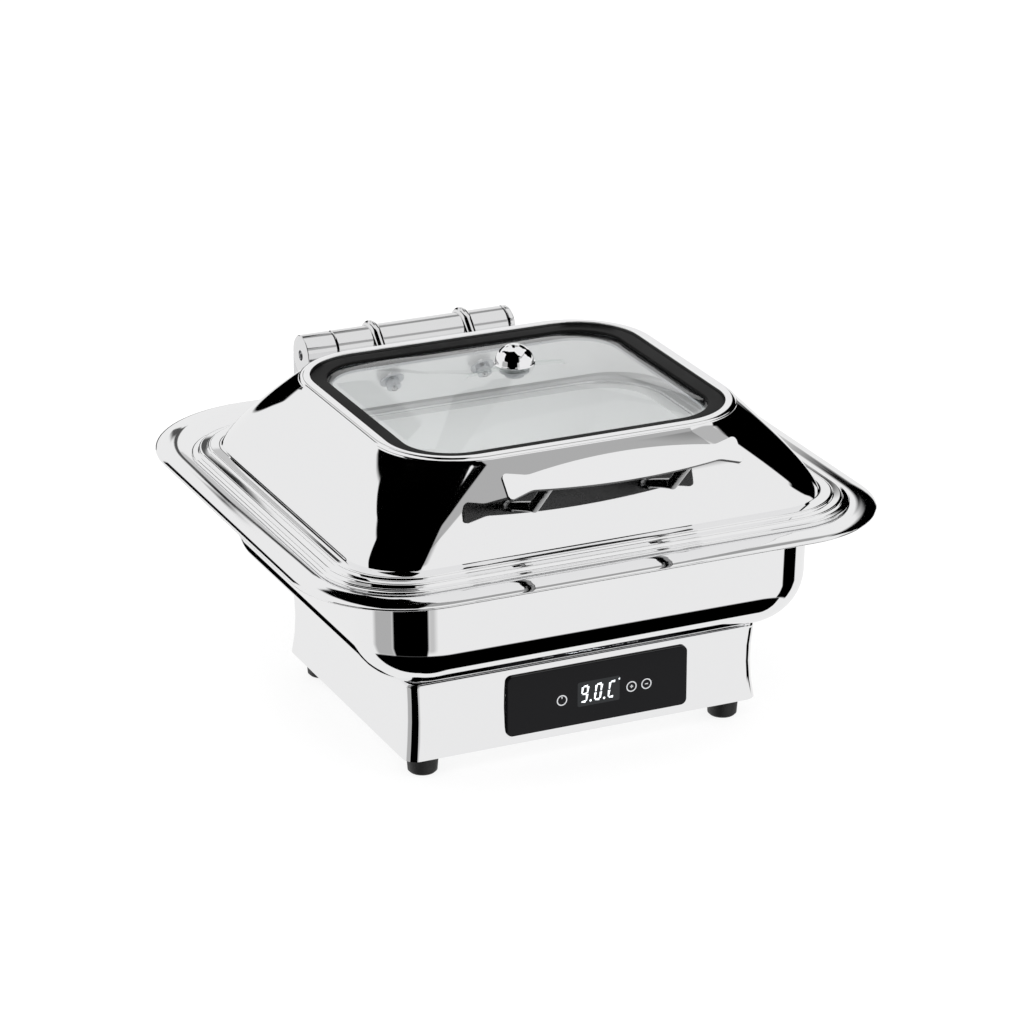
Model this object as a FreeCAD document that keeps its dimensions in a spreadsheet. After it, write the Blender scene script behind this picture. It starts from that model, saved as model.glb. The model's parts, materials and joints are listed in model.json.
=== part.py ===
import FreeCAD, Part
import math
import os
import re
import Sketcher

os.makedirs("parts", exist_ok=True)
doc = FreeCAD.newDocument("chafing_dish")
sheet = doc.addObject("Spreadsheet::Sheet", "Sizes")
V = FreeCAD.Vector
parts = []

# Driving sizes in millimetres and degrees
sizes = {
    # Whole dish, ground at zero, X symmetric about zero
    "flange_width": 447.8,
    "flange_depth": 438,
    "flange_front_corner": 83.6,
    "flange_back_corner": 100,
    "flange_edge_z": 168.5,
    "flange_crease_z": 170.7,
    "flange_crease_inset": 13,
    "flange_top_z": 171.3,
    "flange_flat_inset": 20,
    "tub_width": 352,
    "tub_depth": 320,
    "tub_taper": 3,
    "tub_corner": 50,
    "tub_round": 38,
    "tub_bottom_z": 80.7,
    "pan_centre_y": -17.65,
    "steel_sheet": 1.2,
    # Base
    "base_width": 280,
    "base_depth": 229.3,
    "base_corner": 10,
    "base_waist": 2.4,
    "base_top_inset": 1,
    "base_low_z": 16.5,
    "base_top_z": 75.4,
    "base_round": 3,
    "base_centre_y": -24.85,
    "inlet_x": -70,
    "inlet_z": 44.5,
    "foot_edge_x": 19.6,
    "foot_edge_y": 19.65,
    "foot_radius": 12,
    "foot_taper": 1.2,
    "foot_recess_radius": 5.5,
    "foot_recess_depth": 9,
    # Control panel
    "panel_centre_x": 8.7,
    "panel_width": 143.4,
    "panel_low_z": 22.9,
    "panel_top_z": 69.2,
    "panel_corner": 4.5,
    "panel_proud": 1,
    "display_centre_x": 9.2,
    "display_z": 46,
    "display_width": 33.5,
    "display_height": 19,
    "power_key_x": -20,
    "power_key_z": 44.2,
    "plus_key_x": 35.5,
    "minus_key_x": 47.5,
    "step_key_z": 45,
    "key_radius": 4.2,
    "key_inlay": 0.8,
    # Food pan, two thirds gastronorm
    "food_rim_width": 354,
    "food_rim_depth": 325,
    "food_body_width": 334,
    "food_body_depth": 305,
    "food_depth": 65,
    "food_taper": 7,
    "food_corner": 40,
    "food_round": 16,
    "food_sheet": 0.8,
    "food_rim_corner": 50,
    "food_rim_thickness": 1,
    "seat_drop": 3.2,
    "seat_gap": 0.35,
    "seat_play": 0.5,
    # Lid
    "rim_width": 408,
    "rim_depth": 362.6,
    "rim_corner": 62,
    "rim_z": 171.7,
    "tread_one_end": 4.4,
    "tread_one_z": 173.8,
    "tread_two_end": 11,
    "tread_two_z": 177,
    "foot_inset": 21,
    "foot_z": 179.5,
    "tread_fall": 0.8,
    "riser_run": 1.6,
    "dome_foot_corner": 45,
    "plateau_width": 280,
    "plateau_depth": 252,
    "plateau_corner": 62,
    "plateau_z": 240.9,
    "wall_curve": 1.3,
    "dome_round": 4,
    "dome_round_drop": 2.2,
    "lid_sheet": 1.2,
    # Window
    "window_width": 261,
    "window_depth": 233,
    "window_corner": 50,
    "band_width": 12.5,
    "band_z": 238.5,
    "band_thickness": 2,
    "glass_lap": 8,
    "glass_thickness": 4,
    "glass_crown": 19,
    "lip_low_z": 231.5,
    # Vent
    "vent_y": -15,
    "vent_radius": 14.25,
    "vent_height": 14.5,
    "vent_skirt": 1.4,
    "vent_stem_radius": 4,
    # Handle
    "post_x": 53.8,
    "post_z": 207.5,
    "post_radius": 4,
    "post_collar_radius": 5.6,
    "plate_y": -197.35,
    "plate_z": 239.8,
    "plate_length": 180,
    "plate_end_height": 21.5,
    "plate_neck_height": 11.5,
    "plate_middle_height": 22,
    "plate_neck_x": 72,
    "plate_thickness": 3,
    "plate_bow": 4,
    "stud_radius": 2.5,
    "stud_length": 14,
    # Hinge
    "hinge_y": 163.15,
    "hinge_z": 220.5,
    "tube_radius": 15.5,
    "barrel_half": 70.6,
    "ring_gap": 0.8,
    "left_end_x": 96,
    "right_end_x": 76,
    "axle_radius": 4,
    "axle_clearance": 0.1,
    "barrel_bore": 11,
    "bush_length": 14,
    "arm_x": 37.5,
    "arm_radius": 4,
    "arm_wrap_radius": 15,
    "arm_wrap_angle": 40,
    "arm_wall_z": 208.5,
    "washer_radius": 12.5,
    "washer_thickness": 1.5,
    "nut_radius": 5.5,
    "nut_height": 6,
    "bracket_front_y": 166,
    "bracket_column": 17,
    "bracket_foot": 32,
    "bracket_foot_thickness": 4,
    "bracket_left_out": 94,
    "bracket_left_in": 76,
    "bracket_right_out": 84,
    "fit_gap": 0.2,
}
for row, (name, number) in enumerate(sizes.items(), 1):
    sheet.set(f"A{row}", name)
    sheet.set(f"B{row}", str(number))
    sheet.setAlias(f"B{row}", name)
doc.recompute()


def ref(text):
    """Turn size names in an expression into references to the sheet."""
    def swap(word):
        return "Sizes." + word.group() if word.group() in sizes else word.group()
    return re.sub(r"[a-z][a-z0-9_]*", swap, str(text))


def val(text):
    """Value of an expression in size names."""
    return float(sheet.evalExpression(ref(text)))


def body(name):
    """One sub-part as a body, to be written as its own file."""
    item = doc.addObject("PartDesign::Body", name)
    item.Label = name
    parts.append(item)
    return item


def datum(item, role):
    """Origin plane or axis of a body."""
    return next(f for f in item.Origin.OriginFeatures if f.Role == role)


def sketch(item, name, role, offset="0", shift_x="0", shift_y="0"):
    """Empty sketch on an origin plane, moved along it and off it."""
    out = item.newObject("Sketcher::SketchObject", name)
    out.AttachmentSupport = [(datum(item, role), "")]
    out.MapMode = "FlatFace"
    out.setExpression("AttachmentOffset.Base.x", ref(shift_x))
    out.setExpression("AttachmentOffset.Base.y", ref(shift_y))
    out.setExpression("AttachmentOffset.Base.z", ref(offset))
    return out


def bind(out, kind, where, text):
    """Add one sized constraint that follows the sheet."""
    number = out.addConstraint(Sketcher.Constraint(kind, *where, val(text)))
    out.setExpression(f"Constraints[{number}]", ref(text))


def add_rounded(out, mids):
    """Four arcs joined by level and upright lines, from corner centres and radii."""
    first = out.GeometryCount
    quarter = math.pi / 2
    shapes = []
    for k, (x, y, r) in enumerate(mids):
        next_x, next_y, next_r = mids[(k + 1) % 4]
        along, up = round(math.cos(k * quarter)), round(math.sin(k * quarter))
        start = V(x + r * along, y + r * up, 0)
        end = V(next_x + next_r * along, next_y + next_r * up, 0)
        circle = Part.Circle(V(x, y, 0), V(0, 0, 1), r)
        shapes.append(Part.ArcOfCircle(circle, (k - 1) * quarter, k * quarter))
        shapes.append(Part.LineSegment(start, end))
    out.addGeometry(shapes, False)
    rules = [Sketcher.Constraint("Tangent", first + k, 2, first + (k + 1) % 8, 1) for k in range(8)]
    for k, kind in ((1, "Vertical"), (3, "Horizontal"), (5, "Vertical"), (7, "Horizontal")):
        rules.append(Sketcher.Constraint(kind, first + k))
    out.addConstraint(rules)
    return first


def add_box(out, width, depth, corner, centre_y="0"):
    """Rounded rectangle about the sketch origin, or moved along its Y."""
    half_x, half_y, r = val(f"({width}) / 2"), val(f"({depth}) / 2"), val(corner)
    right, low, high = half_x - r, val(centre_y) + r - half_y, val(centre_y) + half_y - r
    first = add_rounded(out, [(right, low, r), (right, high, r), (-right, high, r), (-right, low, r)])
    out.addConstraint([Sketcher.Constraint("Equal", first, first + k) for k in (2, 4, 6)])
    bind(out, "Radius", (first,), corner)
    bind(out, "DistanceX", (-1, 1, first + 1, 1), f"({width}) / 2")
    bind(out, "DistanceX", (first + 5, 1, first + 1, 1), width)
    bind(out, "DistanceY", (-1, 1, first + 3, 1), f"{centre_y} + ({depth}) / 2")
    bind(out, "DistanceY", (first + 7, 1, first + 3, 1), depth)


def add_loop(out, points):
    """Closed outline of straight lines through sized points."""
    first = out.GeometryCount
    spots = [V(val(x), val(y), 0) for x, y in points]
    count = len(spots)
    after = [(k + 1) % count for k in range(count)]
    out.addGeometry([Part.LineSegment(spots[k], spots[after[k]]) for k in range(count)], False)
    out.addConstraint([Sketcher.Constraint("Coincident", first + k, 2, first + after[k], 1)
                       for k in range(count)])
    for k, (x, y) in enumerate(points):
        bind(out, "DistanceX", (-1, 1, first + k, 1), x)
        bind(out, "DistanceY", (-1, 1, first + k, 1), y)


def add_disc(out, radius, x="0", y="0"):
    """Circle in a sketch."""
    number = out.addGeometry(Part.Circle(V(val(x), val(y), 0), V(0, 0, 1), val(radius)), False)
    bind(out, "Radius", (number,), radius)
    bind(out, "DistanceX", (-1, 1, number, 3), x)
    bind(out, "DistanceY", (-1, 1, number, 3), y)


def outline(item, name, width, depth, corner, z, centre_y="0", centre_x="0"):
    """Level rounded rectangle at a height."""
    out = sketch(item, name, "XY_Plane", z, centre_x, centre_y)
    add_box(out, width, depth, corner)
    return out


def loft(item, name, sections, cut=False, ruled=False):
    """Solid through outlines, added or cut."""
    kind = "PartDesign::SubtractiveLoft" if cut else "PartDesign::AdditiveLoft"
    out = item.newObject(kind, name)
    out.Profile = sections[0]
    out.Sections = sections[1:]
    out.Ruled = ruled
    doc.recompute()
    return out


def pad(item, name, profile, length, back=False, middle=False):
    """Extrude a sketch along its normal."""
    out = item.newObject("PartDesign::Pad", name)
    out.Profile = profile
    out.setExpression("Length", ref(length))
    out.Reversed = back
    out.Midplane = middle
    doc.recompute()
    return out


def pocket(item, name, profile, length, back=False, middle=False):
    """Cut a sketch along its normal, and check that it removed something."""
    before = item.Shape.Volume
    out = item.newObject("PartDesign::Pocket", name)
    out.Profile = profile
    out.setExpression("Length", ref(length))
    out.Reversed = back
    out.Midplane = middle
    doc.recompute()
    if item.Shape.Volume > before - 0.01:
        raise ValueError(f"{item.Label} {name} cuts nothing")
    return out


def turned(item, name, points, shift_x="0"):
    """Solid of revolution about the local Z axis from a radius and height outline."""
    out = sketch(item, name + "_profile", "XZ_Plane", "0", shift_x)
    add_loop(out, points)
    spun = item.newObject("PartDesign::Revolution", name)
    spun.Profile = out
    spun.ReferenceAxis = (out, ["V_Axis"])
    spun.Angle = 360
    doc.recompute()
    return spun


def rod(item, name, radius, length, spot, axis=(0, 0, 1), tilt="0", cut=False):
    """Cylinder feature from a spot, turned about an axis by a tilt."""
    kind = "PartDesign::SubtractiveCylinder" if cut else "PartDesign::AdditiveCylinder"
    before = item.Shape.Volume if cut else 0
    out = item.newObject(kind, name)
    out.setExpression("Radius", ref(radius))
    out.setExpression("Height", ref(length))
    out.Placement = FreeCAD.Placement(V(0, 0, 0), FreeCAD.Rotation(V(*axis), val(tilt)))
    for letter, text in zip("xyz", spot):
        out.setExpression(f"Placement.Base.{letter}", ref(text))
    if val(tilt):
        out.setExpression("Placement.Rotation.Angle", ref(tilt))
    doc.recompute()
    if cut and item.Shape.Volume > before - 0.01:
        raise ValueError(f"{item.Label} {name} cuts nothing")
    return out


def soften(item, name, feature, test, radius, chamfer=False):
    """Fillet or chamfer the edges that pass a test."""
    doc.recompute()
    kind = "PartDesign::Chamfer" if chamfer else "PartDesign::Fillet"
    names = [f"Edge{k + 1}" for k, edge in enumerate(feature.Shape.Edges) if test(edge.BoundBox)]
    if not names:
        raise ValueError(f"{item.Label} {name} finds no edge")
    out = item.newObject(kind, name)
    out.Base = (feature, names)
    out.setExpression("Size" if chamfer else "Radius", ref(radius))
    doc.recompute()
    return out


def level(z, reach=0.01):
    """Test for edges that lie at one height."""
    height = val(z)
    return lambda box: abs(box.ZMin - height) < reach and abs(box.ZMax - height) < reach


def spread(item, name, features, span_x, span_y):
    """Repeat features at the corners of a rectangle."""
    out = item.newObject("PartDesign::MultiTransform", name)
    out.Originals = features
    steps = []
    for role, span in (("X_Axis", span_x), ("Y_Axis", span_y)):
        if val(span):
            step = item.newObject("PartDesign::LinearPattern", name + role[0])
            step.Direction = (datum(item, role), [""])
            step.setExpression("Length", ref(span))
            step.Occurrences = 2
            steps.append(step)
    out.Transformations = steps
    item.Tip = out
    doc.recompute()
    return out


def place(item, spot, axis=(0, 0, 1), tilt=None):
    """Put a whole sub-part in the frame."""
    if tilt is not None:
        item.Placement = FreeCAD.Placement(V(0, 0, 0), FreeCAD.Rotation(V(*axis), val(tilt)))
        item.setExpression("Placement.Rotation.Angle", ref(tilt))
    for letter, text in zip("xyz", spot):
        item.setExpression(f"Placement.Base.{letter}", ref(text))


# Base
def make_base_shell():
    item = body("base_shell")
    mid_z = "(base_low_z + base_top_z) / 2"

    def ring(name, inset, z, drop="0"):
        return outline(item, name, f"base_width - 2 * ({inset})", f"base_depth - 2 * ({inset})",
                       f"base_corner - 0.5 * ({drop})", z, "base_centre_y")
    wall = "steel_sheet"
    brow_z = "base_top_z - base_round"
    levels = [("low", "0", "base_low_z"),
              ("lower", "base_waist * 0.75", f"({mid_z}) * 0.5 + base_low_z * 0.5"),
              ("waist", "base_waist", mid_z),
              ("upper", "base_waist * 0.75 + base_top_inset / 4", f"({mid_z}) * 0.5 + ({brow_z}) * 0.5"),
              ("brow", "base_top_inset", brow_z)]
    for k in (1, 2, 3):
        angle = 30 * k
        levels.append((f"round_{k}", f"base_top_inset + base_round * (1 - cos({angle}))",
                       f"base_top_z - base_round * (1 - sin({angle}))"))
    outer = [ring(name, inset, z) for name, inset, z in levels]
    loft(item, "outside", outer, ruled=True)
    inner = [ring("low_in", wall, "base_low_z - 1", wall)]
    inner += [ring(f"{name}_in", f"{inset} + {wall}", z, wall) for name, inset, z in levels[:5]]
    inner.append(ring("top_in", f"base_top_inset + {wall} + 2", f"base_top_z - {wall}", wall))
    loft(item, "inside", inner, cut=True, ruled=True)
    panel = sketch(item, "panel_hole", "XZ_Plane", "-(base_centre_y - base_depth / 2) - 10",
                   "panel_centre_x", "(panel_low_z + panel_top_z) / 2")
    add_box(panel, "panel_width + 2 * fit_gap", "panel_top_z - panel_low_z + 2 * fit_gap",
            "panel_corner + fit_gap")
    pocket(item, "panel_opening", panel, "30", middle=True)
    heat = outline(item, "heater_hole", "190", "150", "20", "base_top_z", "base_centre_y")
    pocket(item, "heater_opening", heat, "6", middle=True)
    inlet = sketch(item, "inlet_hole", "XZ_Plane", "-(base_centre_y + base_depth / 2)", "inlet_x", "inlet_z")
    add_box(inlet, "28.4", "20.4", "2")
    pocket(item, "inlet_opening", inlet, "16", middle=True)
    for k in range(9):
        slot = sketch(item, f"vent_{k}", "XZ_Plane", "-(base_centre_y + base_depth / 2)",
                      f"{10 + 9 * k}", "base_low_z + 30")
        add_box(slot, "3", "26", "1.4")
        pocket(item, f"vent_cut_{k}", slot, "16", middle=True)
    return item


def make_bottom_plate():
    item = body("bottom_plate")
    inset = "steel_sheet + 1"
    flat = outline(item, "flat", f"base_width - 2 * ({inset})", f"base_depth - 2 * ({inset})",
                   "base_corner - 1", "base_low_z + 0.1", "base_centre_y")
    pad(item, "plate", flat, "1.2")
    holes = sketch(item, "holes", "XY_Plane", "base_low_z", "0", "base_centre_y")
    for x in (-1, 1):
        for y in (-1, 1):
            add_disc(holes, "2.2", f"{x} * (base_width / 2 - foot_edge_x)",
                     f"{y} * (base_depth / 2 - foot_edge_y)")
    pocket(item, "screw_holes", holes, "6", middle=True)
    for k in range(7):
        slot = outline(item, f"slot_{k}", "60", "4", "1.9", "base_low_z + 1",
                       f"base_centre_y + {12 * (k - 3)}")
        pocket(item, f"slot_cut_{k}", slot, "6", middle=True)
    return item


def make_feet():
    for side, x in (("left", -1), ("right", 1)):
        for end, y in (("front", -1), ("back", 1)):
            item = body(f"foot_{end}_{side}")
            top = "base_low_z"
            points = [("2.2", "foot_recess_depth"), ("foot_recess_radius", "foot_recess_depth"),
                      ("foot_recess_radius", "0"), ("foot_radius - foot_taper - 1.5", "0"),
                      ("foot_radius - foot_taper", "1.5"), ("foot_radius", top), ("2.2", top)]
            turned(item, "foot", points)
            place(item, (f"{x} * (base_width / 2 - foot_edge_x)",
                         f"base_centre_y + {y} * (base_depth / 2 - foot_edge_y)", "0"))


def make_foot_screws():
    item = body("foot_screws")
    spot = ("-(base_width / 2 - foot_edge_x)", "base_centre_y - (base_depth / 2 - foot_edge_y)")
    head = rod(item, "head", "4", "3", (*spot, "foot_recess_depth - 3"))
    shank = rod(item, "shank", "2", "base_low_z - foot_recess_depth + 4.5", (*spot, "foot_recess_depth"))
    nut = rod(item, "nut", "4", "3", (*spot, "base_low_z + 1.3"))
    spread(item, "corners", [head, shank, nut],
           "base_width - 2 * foot_edge_x", "base_depth - 2 * foot_edge_y")


def make_panel():
    front = "-(base_centre_y - base_depth / 2) + panel_proud"
    mid_z = "(panel_low_z + panel_top_z) / 2"
    item = body("control_fascia")
    face = sketch(item, "face", "XZ_Plane", front, "panel_centre_x", mid_z)
    add_box(face, "panel_width", "panel_top_z - panel_low_z", "panel_corner")
    slab = pad(item, "slab", face, "1 + base_waist", back=True)
    edge = val(f"-({front})")

    def on_face(box):
        return abs(box.YMin - edge) < 0.01 and abs(box.YMax - edge) < 0.01

    soften(item, "edge_bevel", slab, on_face, "0.5", chamfer=True)
    frame = sketch(item, "frame", "XZ_Plane", f"{front} - 1 - base_waist", "panel_centre_x", mid_z)
    add_box(frame, "panel_width - 13", "panel_top_z - panel_low_z - 13", "panel_corner - 1")
    pad(item, "back_boss", frame, "1.5", back=True)
    hole = sketch(item, "window", "XZ_Plane", front, "display_centre_x", "display_z")
    add_box(hole, "display_width", "display_height", "1.5")
    pocket(item, "window_recess", hole, "1.2", back=False)
    keys = sketch(item, "keys", "XZ_Plane", front)
    add_disc(keys, "key_radius", "power_key_x", "power_key_z")
    add_disc(keys, "key_radius", "plus_key_x", "step_key_z")
    add_disc(keys, "key_radius", "minus_key_x", "step_key_z")
    pocket(item, "key_recess", keys, "key_inlay", back=False)
    glass = body("display_window")
    pane = sketch(glass, "pane", "XZ_Plane", front, "display_centre_x", "display_z")
    add_box(pane, "display_width", "display_height", "1.5")
    pad(glass, "sheet", pane, "1.2", back=True)
    for name, x, z in (("power", "power_key_x", "power_key_z"), ("plus", "plus_key_x", "step_key_z"),
                       ("minus", "minus_key_x", "step_key_z")):
        key = body(f"touch_key_{name}")
        spot = sketch(key, "spot", "XZ_Plane", front, x, z)
        add_disc(spot, "key_radius")
        pad(key, "inlay", spot, "key_inlay", back=True)
    board = body("control_board")
    sheet_in = f"{front} - base_waist - 6"
    card = sketch(board, "card", "XZ_Plane", sheet_in, "panel_centre_x", mid_z)
    add_box(card, "110", "32", "1")
    pad(board, "card_pad", card, "1.6", back=True)
    chips = (("-36", "18", "12"), ("-8", "24", "5"), ("26", "14", "16"), ("44", "12", "9"))
    for k, (x, wide, deep) in enumerate(chips):
        chip = sketch(board, f"chip_{k}", "XZ_Plane", f"{sheet_in} - 1.5", f"panel_centre_x + {x}", mid_z)
        add_box(chip, wide, "16", "0.8")
        pad(board, f"chip_pad_{k}", chip, deep, back=True)
    module = body("display_module")
    behind = f"{front} - base_waist - 2.5"
    block = sketch(module, "block", "XZ_Plane", behind, "display_centre_x", "display_z")
    add_box(block, "display_width - 4", "display_height - 4", "1")
    pad(module, "block_pad", block, "3.5", back=True)
    for k in (-1, 1):
        post = body("board_spacer_left" if k < 0 else "board_spacer_right")
        ring = sketch(post, "ring", "XZ_Plane", behind, f"panel_centre_x + {k} * 50", mid_z)
        add_disc(ring, "3")
        pad(post, "spacer", ring, "3.5", back=True)


def make_heater():
    item = body("pan_support")
    ring = outline(item, "ring", "250", "212", "28", "base_top_z", "base_centre_y + 3")
    add_box(ring, "218", "180", "18")
    pad(item, "support", ring, "tub_bottom_z - base_top_z")
    item = body("heater_plate")
    plate = outline(item, "plate", "180", "140", "18", "tub_bottom_z - 8", "base_centre_y")
    slab = pad(item, "slab", plate, "8")
    soften(item, "bevel", slab, level("tub_bottom_z"), "1", chamfer=True)
    boss = sketch(item, "boss", "XY_Plane", "tub_bottom_z - 8", "0", "base_centre_y")
    add_disc(boss, "12", "30", "0")
    pad(item, "sensor_boss", boss, "4", back=True)
    item = body("heating_element")
    z = "tub_bottom_z - 8 - 4.1"
    spine = sketch(item, "spine", "XY_Plane", z, "0", "base_centre_y")
    add_path(spine)
    ring = sketch(item, "section", "YZ_Plane", "-40", "base_centre_y - 50", z)
    add_disc(ring, "4")
    sweep = item.newObject("PartDesign::AdditivePipe", "sweep")
    sweep.Profile = ring
    sweep.Spine = spine
    doc.recompute()
    item = body("thermostat")
    turned(item, "case", [("0", "0"), ("7", "0"), ("7", "-6"), ("9", "-6"), ("9", "-14"), ("0", "-14")])
    place(item, ("30", "base_centre_y", "tub_bottom_z - 12"))
    item = body("thermal_cutout")
    case = outline(item, "case", "24", "11", "2", "tub_bottom_z - 8", "base_centre_y", "-62")
    pad(item, "cutout", case, "6", back=True)
    item = body("heater_clamp_bar")
    bar = outline(item, "bar", "14", "base_depth - 12", "3", "tub_bottom_z - 24", "base_centre_y", "82")
    pad(item, "strap", bar, "2")
    leg = outline(item, "leg", "14", "14", "3", "tub_bottom_z - 24", "base_centre_y", "82")
    pad(item, "pillar", leg, "16")


def add_path(out):
    """Open U shaped path with round bends."""
    points = [(-40, -50), (60, -50), (60, 50), (-40, 50)]
    lines = [Part.LineSegment(V(*points[k], 0), V(*points[k + 1], 0)) for k in range(3)]
    out.addGeometry(lines, False)
    out.addConstraint([Sketcher.Constraint("Coincident", k, 2, k + 1, 1) for k in range(2)])
    for k, (x, y) in enumerate(points[:3]):
        bind(out, "DistanceX", (-1, 1, k, 1), str(x))
        bind(out, "DistanceY", (-1, 1, k, 1), str(y))
    bind(out, "DistanceX", (-1, 1, 2, 2), str(points[3][0]))
    bind(out, "DistanceY", (-1, 1, 2, 2), str(points[3][1]))
    for k in range(2):
        out.fillet(k, 2, 20)


def make_inlet():
    wall = "(base_waist - base_centre_y - base_depth / 2)"
    spot = ("inlet_x", "inlet_z")
    item = body("power_inlet")
    flange = sketch(item, "flange", "XZ_Plane", f"{wall} - 2.6", *spot)
    add_box(flange, "34", "26", "2.5")
    pad(item, "flange_pad", flange, "2")
    case = sketch(item, "case", "XZ_Plane", f"{wall} - 1", *spot)
    add_box(case, "28", "20", "1.8")
    pad(item, "case_pad", case, "18")
    mouth = sketch(item, "mouth", "XZ_Plane", f"{wall} - 3", *spot)
    add_box(mouth, "24", "16", "1.6")
    pocket(item, "mouth_cut", mouth, "17", back=True)
    for k in (-1, 0, 1):
        pin = sketch(item, f"pin_{k + 1}", "XZ_Plane", f"{wall} + 1",
                     f"inlet_x + {k} * 7", f"inlet_z - 3 * {abs(k)} + 2")
        add_box(pin, "2", "4", "0.4")
        pad(item, f"pin_pad_{k + 1}", pin, "14")
    block = body("terminal_block")
    block_y = "base_centre_y + base_depth / 2 - 60"
    case = outline(block, "case", "44", "16", "1.5", "base_low_z + 1.3", block_y, "inlet_x")
    pad(block, "case_pad", case, "14")
    for k in range(4):
        well = sketch(block, f"well_{k}", "XY_Plane", "base_low_z + 15.3",
                      f"inlet_x + {10.5 * (k - 1.5)}", block_y)
        add_disc(well, "2.6")
        pocket(block, f"well_cut_{k}", well, "5")


# Pans
def bowl(low, radius, step):
    """Insets and heights of a quarter round from a floor up to a wall."""
    angles = range(0, 91, step)
    return [(f"({radius}) * (1 - sin({a}))", f"{low} + ({radius}) * (1 - cos({a}))") for a in angles]


def tub_lean(z):
    """How much narrower the tub is at a height than at its top."""
    return f"tub_taper * (flange_top_z - ({z})) / (flange_top_z - tub_bottom_z)"


def tub_ring(item, name, z, inset="0"):
    """Outline of the tub at a height between its bottom and top."""
    less = f"{tub_lean(z)} - 2 * ({inset})"
    return outline(item, name, f"tub_width - {less}", f"tub_depth - {less}",
                   f"tub_corner - ({inset})", z, "pan_centre_y")


def add_flange(out, inset):
    """Rounded outline with its own front and back corners."""
    half_x, half_y = f"flange_width / 2 - ({inset})", f"flange_depth / 2 - ({inset})"
    front, back = f"flange_front_corner - ({inset})", f"flange_back_corner - ({inset})"
    mids = []
    for side, end, corner in ((1, -1, front), (1, 1, back), (-1, 1, back), (-1, -1, front)):
        r = val(corner)
        mids.append((side * (val(half_x) - r), end * (val(half_y) - r), r))
    add_rounded(out, mids)
    out.addConstraint([Sketcher.Constraint("Equal", 0, 6), Sketcher.Constraint("Equal", 2, 4)])
    bind(out, "Radius", (0,), front)
    bind(out, "Radius", (2,), back)
    bind(out, "DistanceX", (-1, 1, 1, 1), half_x)
    bind(out, "DistanceX", (5, 1, 1, 1), f"2 * ({half_x})")
    bind(out, "DistanceY", (-1, 1, 3, 1), half_y)
    bind(out, "DistanceY", (7, 1, 3, 1), f"2 * ({half_y})")


def make_water_pan():
    item = body("water_pan")
    wall = "steel_sheet"
    curve = bowl("tub_bottom_z", "tub_round", 15)
    outer = [tub_ring(item, f"tub_{k}", z, inset) for k, (inset, z) in enumerate(curve)]
    outer.append(tub_ring(item, "tub_high", "flange_crease_z"))
    loft(item, "tub", outer, ruled=True)
    droop = [("0", "flange_edge_z"), ("1.2", "flange_edge_z + 0.75"), ("5.5", "flange_crease_z - 0.75"),
             ("flange_crease_inset", "flange_crease_z"), ("flange_flat_inset", "flange_top_z")]
    rings = []
    for k, (inset, z) in enumerate(droop):
        ring = sketch(item, f"flange_{k}", "XY_Plane", z)
        add_flange(ring, inset)
        rings.append(ring)
    loft(item, "flange", rings, ruled=True)
    under = []
    for k, (inset, z) in enumerate(droop):
        ring = sketch(item, f"under_{k}", "XY_Plane", f"{z} - {wall}")
        add_flange(ring, f"{inset} + 1")
        under.append(ring)
    for ring, (inset, z) in zip(under, droop):
        lean = tub_lean(f"{z} - {wall}")
        add_box(ring, f"tub_width - {lean}", f"tub_depth - {lean}", "tub_corner", "pan_centre_y")
    loft(item, "underside", under, cut=True, ruled=True)
    seat = outline(item, "seat", f"food_rim_width + 2 * (seat_play + {wall})",
                   f"food_rim_depth + 2 * (seat_play + {wall})", f"food_rim_corner + seat_play + {wall}",
                   f"flange_top_z - seat_drop - {wall}", "pan_centre_y")
    pad(item, "seat_pad", seat, f"seat_drop + {wall} / 2")
    curve = bowl(f"tub_bottom_z + {wall}", f"tub_round - {wall}", 15)
    inner = [tub_ring(item, f"inner_{k}", z, f"{inset} + {wall}") for k, (inset, z) in enumerate(curve)]
    inner.append(tub_ring(item, "inner_high", "flange_top_z", wall))
    loft(item, "hollow", inner, cut=True, ruled=True)
    recess = outline(item, "recess", "food_rim_width + 2 * seat_play", "food_rim_depth + 2 * seat_play",
                     "food_rim_corner + seat_play", "flange_top_z", "pan_centre_y")
    pocket(item, "rim_seat", recess, "seat_drop")
    holes = sketch(item, "holes", "XY_Plane", "flange_top_z")
    for side in (-1, 1):
        add_disc(holes, "2.7", bracket_screw_x(side), bracket_screw_y)
    pocket(item, "screw_holes", holes, "6", middle=True)


def make_food_pan():
    item = body("food_pan")
    wall = "food_sheet"
    rest = "flange_top_z - seat_drop + seat_gap"
    low = f"{rest} + food_rim_thickness - food_depth"

    def ring(name, z, grow, inset):
        return outline(item, name, f"food_body_width - {grow} - 2 * ({inset})",
                       f"food_body_depth - {grow} - 2 * ({inset})",
                       f"food_corner - ({inset})", z, "pan_centre_y")

    def lean(z):
        return f"food_taper * (flange_top_z - ({z})) / food_depth"
    curve = bowl(low, "food_round", 18)
    outer = [ring(f"low_{k}", z, lean(z), inset) for k, (inset, z) in enumerate(curve)]
    outer.append(ring("high", rest, "0", "0"))
    loft(item, "pan", outer, ruled=True)
    rim = outline(item, "rim", "food_rim_width", "food_rim_depth", "food_rim_corner", rest, "pan_centre_y")
    pad(item, "rim_pad", rim, "food_rim_thickness")
    curve = bowl(f"{low} + {wall}", f"food_round - {wall}", 18)
    inner = [ring(f"inner_{k}", z, lean(z), f"{inset} + {wall}") for k, (inset, z) in enumerate(curve)]
    inner.append(ring("inner_high", f"{rest} + food_rim_thickness", "0", wall))
    loft(item, "hollow", inner, cut=True, ruled=True)


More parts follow.
